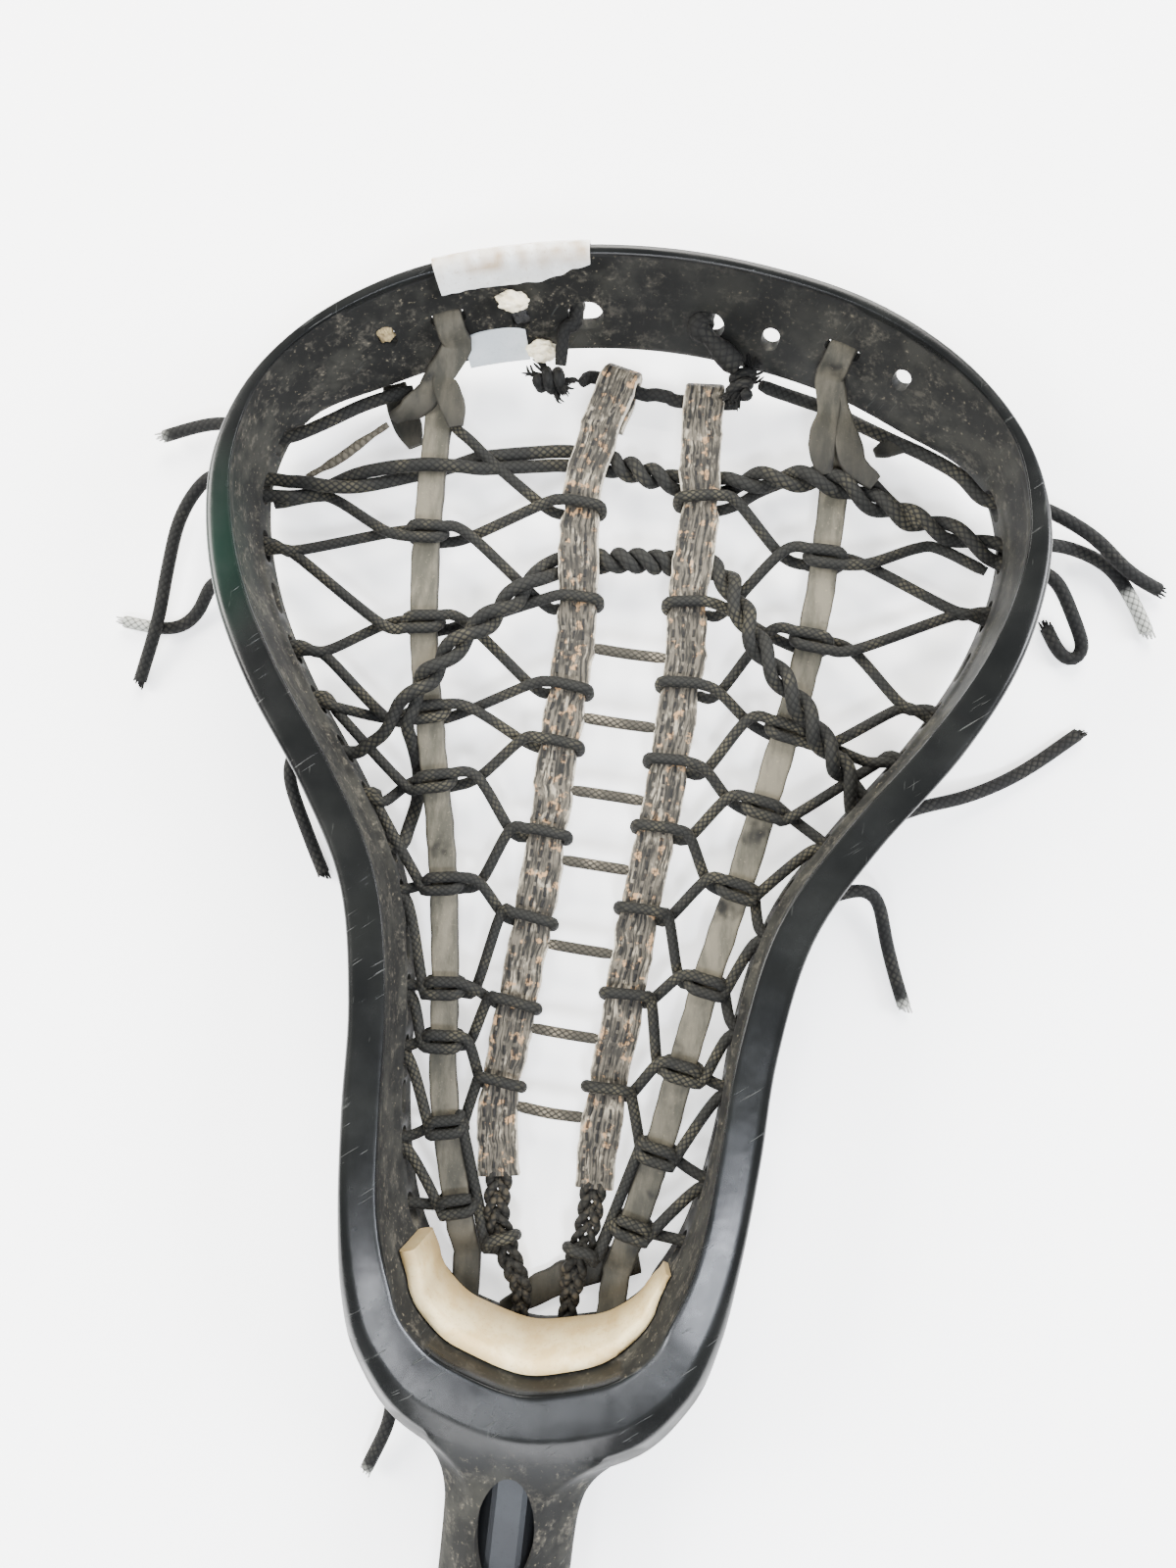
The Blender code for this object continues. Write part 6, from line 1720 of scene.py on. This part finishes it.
    @staticmethod
    def grubby(vert: bpy.types.MeshVertex) -> float:
        """Say how grubby the tape is at a point: its outer face and its lower edge."""
        z = vert.co.z / MM
        patch = wobble(vert.co / MM, 3.5, 9.0)
        outside = 0.75 * clamp((z - 34.6) / 1.6) * (0.55 + patch)
        return clamp(outside + 0.6 * max(0.0, (29.4 - z) / 2.0) + 0.15 * patch, 0.0, 0.85)

    def strip(self) -> None:
        """Make the loose strip that is folded round the back edge of the scoop, its white tape painted grey
        as shade.
        """
        low, high = (RIM.scoop_place(x, 10.0) for x in self.strip_ends)
        rings = []
        for step in range(13):
            edge, normal, row = RIM.frame(low + (high - low) * step / 12)
            back = row[4]
            top = back + self.strip_rise
            outside = RIM.depth(row, back) - RIM.rail - 0.3
            upper = RIM.depth(row, top) - RIM.rail - 0.3
            rise = top - 1.4 * (1.0 + abs(step / 6 - 1) ** 3)
            face, foot = RIM.depth(row, rise) + 0.3, RIM.depth(row, back) + 0.4
            outline = [(upper, top), (outside, back - 0.3), (foot, back - 0.4), (face, rise),
                       (face + 0.5, rise), (foot + 0.6, back - 1.0), (outside - 0.6, back - 0.9),
                       (upper - 0.6, top)]
            rings.append(rim_ring(edge, normal, outline, -1))
        finish_piece("tape_strip_cloth", skin(rings), Finish.PALE_STRIP, ("tape_strip",), 40.0)

    def lumps(self) -> None:
        """Make the two lumps of dried filler, and the dirt that plugs two of the scoop's holes."""
        lumps = [(name + "_paste", centre, radii, Finish.FILLER, (name,))
                 for name, centre, radii in self.fillers]
        for name, x, z, finish in self.plugs:
            centre = RIM.wall_frame(RIM.scoop_place(x, z), z, -1)[0]
            lumps.append((name, centre, self.plug_radii, finish, ()))
        for name, place, radii, finish, nodes in lumps:
            centre = Vector(place)
            builder = bmesh.new()
            bmesh.ops.create_icosphere(builder, subdivisions=5, radius=1.0)
            for vert in builder.verts:
                here = vert.co.copy()
                bulge = 0.92 + 0.34 * noise.noise(here * 1.7 + centre) + 0.12 * noise.noise(here * 4.5)
                vert.co = spot(*(centre + Vector(axis * radius * bulge for axis, radius in zip(here, radii))))
            finish_piece(name, builder, finish, nodes, 80.0)


@dataclass
class Tail:
    """One free cord end outside the rim, from its hole on; a tail with no hole has only its points."""

    name: str
    side: int
    hole_y: Optional[float]
    shift: float
    points: tuple
    pale_tip: float = 0.0
    rounding: int = 16
    yarns: int = 11

    def route(self) -> Route:
        """Give the tail's points, from the wall's outer face on."""
        if self.hole_y is None:
            return smooth_route(self.points, 1.2)
        centre, outward, along = RIM.hole(self.side, self.hole_y)
        face = RIM.rail / 2 + 0.4
        start = [centre + outward * ahead + along * self.shift for ahead in (face, face + 2.4)]
        route = smooth_route(start + [Vector(point) for point in self.points], 1.2)
        for _ in range(self.rounding):
            middle = [(before + here * 2 + after) / 4
                      for before, here, after in zip(route, route[1:], route[2:])]
            route = route[:1] + middle + route[-1:]
        return smooth_route(route, 1.2)

    def tuft(self, end: Vector, run: Vector) -> bpy.types.Object:
        """Make the loose yarns of the cut end, from its middle and its direction."""
        builder = bmesh.new()
        side = run.orthogonal().normalized()
        other = run.cross(side)
        for strand in range(self.yarns):
            angle = math.tau * strand * 0.381966
            push = side * math.cos(angle) + other * math.sin(angle)
            push *= 0.45 + 1.05 * strand / (self.yarns - 1)
            tip = end + run * (1.4 + 0.9 * math.sin(strand * 2.3)) + push * 1.12
            tip.z = max(tip.z, 0.6)
            yarn = [end - run * 1.2 + push * 0.8, end + run * 0.3 + push, tip]
            merge(builder, cord_body(yarn, 0.85, 5, (1.0, 0.5)))
        finish = Finish.WHITE_TIP if self.pale_tip else Finish.TAIL
        return finish_piece(self.name + "_cut_end", builder, finish)

    def build(self) -> None:
        """Make the cord and its cut end."""
        route = self.route()
        piece = finish_piece(self.name + "_braid", cord_body(route, STRING, 12), Finish.TAIL, (self.name,))
        tip = spot(*route[-1])
        note(piece, "pale",
             lambda vert: clamp((self.pale_tip - (vert.co - tip).length / MM) / 2.0, 0.0, 0.75))
        tuft = self.tuft(route[-1], (route[-1] - route[-3]).normalized())
        spot(*route[0])
        distances(route)[-1] * MM
        [spot(*point) for point in route]


TAILS = (
    Tail("tail_left_top", -1, 98.0, 0.0, (
        (-111, 101.8, 9), (-117, 101.9, 8), (-124.5, 100.5, 6), (-132.5, 98, 4.5)), 2.5),
    Tail("tail_left_long", -1, 84.5, 2.3, (
        (-114, 87.7, 9), (-119.6, 83.6, 7.6), (-124.2, 74, 6.8), (-125.9, 60.5, 6.4), (-127, 45.5, 6),
        (-131.6, 28.7, 2.2)), 0.0, 8),
    Tail("tail_left_hook", -1, 54.5, 0.0, (
        (-108.5, 58.5, 9), (-113.5, 56.5, 6.5), (-116.5, 50, 3), (-122, 44.5, 2.1), (-130, 44, 2.1),
        (-138, 44.8, 2.1)), 9.0),
    Tail("tail_left_side", -1, 15.5, 0.0, (
        (-78.6, 15.8, 9), (-83, 13.6, 8.4), (-84.4, 8.2, 7.4), (-82.6, 2, 6.3), (-79.5, -5, 4.5),
        (-76, -12.5, 3), (-72.5, -19, 2.4))),
    Tail("tail_right_top", 1, 98.0, 0.0, (
        (106.8, 99.4, 9.5), (112.1, 97.8, 9.4), (118, 95.3, 9), (125.2, 91.6, 8), (130.8, 86.9, 6.7),
        (136.2, 83.9, 5), (143.2, 81.7, 2.7))),
    Tail("tail_right_long", 1, 84.5, 2.3, (
        (108, 88.8, 9), (113.4, 90, 7.2), (119.8, 90, 4.2), (125.7, 88.9, 2.4), (131.4, 85.9, 2.1),
        (135.3, 80.8, 2.1), (139.1, 74.8, 2.1), (141.3, 70.2, 2.1)), 12.5),
    Tail("tail_right_hook", 1, 84.5, -2.3, (
        (108.5, 82.2, 9.5), (113, 80.9, 9.3), (116.3, 77.8, 8.6), (119.8, 72.7, 6.8), (123.2, 67.4, 4.6),
        (124.9, 63.7, 3), (123, 60.6, 2.2), (119.7, 62, 2.1), (117.2, 65.4, 2.1),
        (115.2, 68.8, 2.1)), 0.0, 3),
    Tail("tail_right_side", 1, 15.5, -2.3, (
        (85, 16.5, 8.5), (98, 21, 5), (112, 29, 2.4), (126, 41, 2.1))),
    Tail("tail_right_low", 1, -9.5, 0.0, (
        (70, -7, 9), (76, -6.5, 7.2), (79, -11.5, 5), (81, -18, 3), (84.5, -27.5, 2.1), (88, -36, 2.1)), 3.0),
    Tail("tail_throat", -1, None, 0.0, (
        (-25.05, -139.74, 6), (-31.5, -144, 6.8), (-34.8, -151, 7), (-36, -162, 6.6),
        (-40.5, -175, 3.6)), 2.5),
)


@dataclass
class Handle:
    """The handle, its butt cap and the neck screw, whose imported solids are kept."""

    finishes: tuple = (("shaft_tube", Finish.ALLOY), ("end_cap", Finish.RUBBER), ("head_screw", Finish.STEEL))

    def build(self) -> None:
        """Dress the three solids."""
        for name, finish in self.finishes:
            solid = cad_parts[name]
            solid.data.materials.clear()
            solid.data.materials.append(finish.material)
            log.info("dressed %s", name)


@dataclass
class Studio:
    """The camera, a pale floor and soft light.

    A lamp's row is its name, its place and the place that it points at in head
    millimetres, its side in millimetres, its power in watts and its colour.
    """

    camera_height: float = 322.7
    camera_x: float = 20.96
    pitch: float = 0.05
    tilt: float = math.radians(3.88)
    turn: float = math.radians(6.51)
    lens: float = 18.0
    lamps: tuple = (
        ("window", (130, -406, 760), (40, -60, 0), 150.0, 7.6, "eef4ff"),
        ("low_fill", (-168, -505, 700), (0, -60, 0), 115.0, 3.2, "f4f8ff"),
        ("near_wall", (-100, -1300, 600), (0, 0, 0), 600.0, 12.0, "fafbff"),
        ("left_wall", (-1100, 200, 700), (0, 0, 0), 700.0, 50.0, "fffdf8"),
        ("far_wall", (100, 1150, 800), (0, 0, 0), 800.0, 56.0, "fffcf6"),
        ("right_wall", (1200, 300, 650), (0, 0, 0), 600.0, 50.0, "f8faff"))

    def camera(self) -> None:
        """Set the camera at the photograph's place."""
        data = bpy.data.cameras.new("camera")
        data.sensor_fit = "VERTICAL"
        data.sensor_height = 24.0
        data.lens = self.lens
        data.clip_start = 0.01
        camera = bpy.data.objects.new("camera", data)
        turned = (Matrix.Rotation(self.turn, 3, "Z") @ Matrix.Rotation(self.tilt, 3, "Y")
                  @ Matrix.Rotation(self.pitch, 3, "X"))
        place = spot(self.camera_x, 0.0, self.camera_height)
        camera.matrix_world = Matrix.Translation(place) @ turned.to_4x4()
        bpy.context.scene.collection.objects.link(camera)
        bpy.context.scene.camera = camera

    @staticmethod
    def floor() -> None:
        """Lay the floor under the stick."""
        builder = bmesh.new()
        bmesh.ops.create_grid(builder, x_segments=2, y_segments=2, size=3.0)
        floor = new_object("floor", builder)
        card = Surface("pale_card", "fcfcfc", 0.9, 0.2)
        card.inputs["Emission Color"].default_value = linear("ffffff")
        card.inputs["Emission Strength"].default_value = 1.2
        floor.data.materials.append(card.material)

    def light(self) -> None:
        """Light the scene softly from all round, with a window on the right."""
        world = bpy.data.worlds.new("soft_room")
        world.use_nodes = True
        sky = world.node_tree.nodes["Background"]
        sky.inputs["Color"].default_value = linear("f4f6f8")
        sky.inputs["Strength"].default_value = 0.5
        bpy.context.scene.world = world
        for name, place, aim, size, power, code in self.lamps:
            data = bpy.data.lights.new(name, "AREA")
            data.shape = "SQUARE"
            data.size = size * MM
            data.energy = power
            data.color = linear(code)[:3]
            lamp = bpy.data.objects.new(name, data)
            lamp.location = spot(*place)
            lamp.rotation_euler = (Vector(aim) - Vector(place)).to_track_quat("-Z", "Y").to_euler()
            bpy.context.scene.collection.objects.link(lamp)


def main() -> None:
    """Build every class in order."""
    logging.basicConfig(level=logging.INFO, format="%(name)s: %(message)s")
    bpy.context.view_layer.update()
    studio = Studio()
    studio.camera()
    for tail in TAILS:
        tail.build()
    studio.floor()
    studio.light()
    for maker in (Head(), Pad(), Thong(-1), Thong(1), Runner(-1), Runner(1), PocketStrings(), ScoopTies(),
                  Handle()):
        maker.build()


if __name__ == "__main__":
    main()
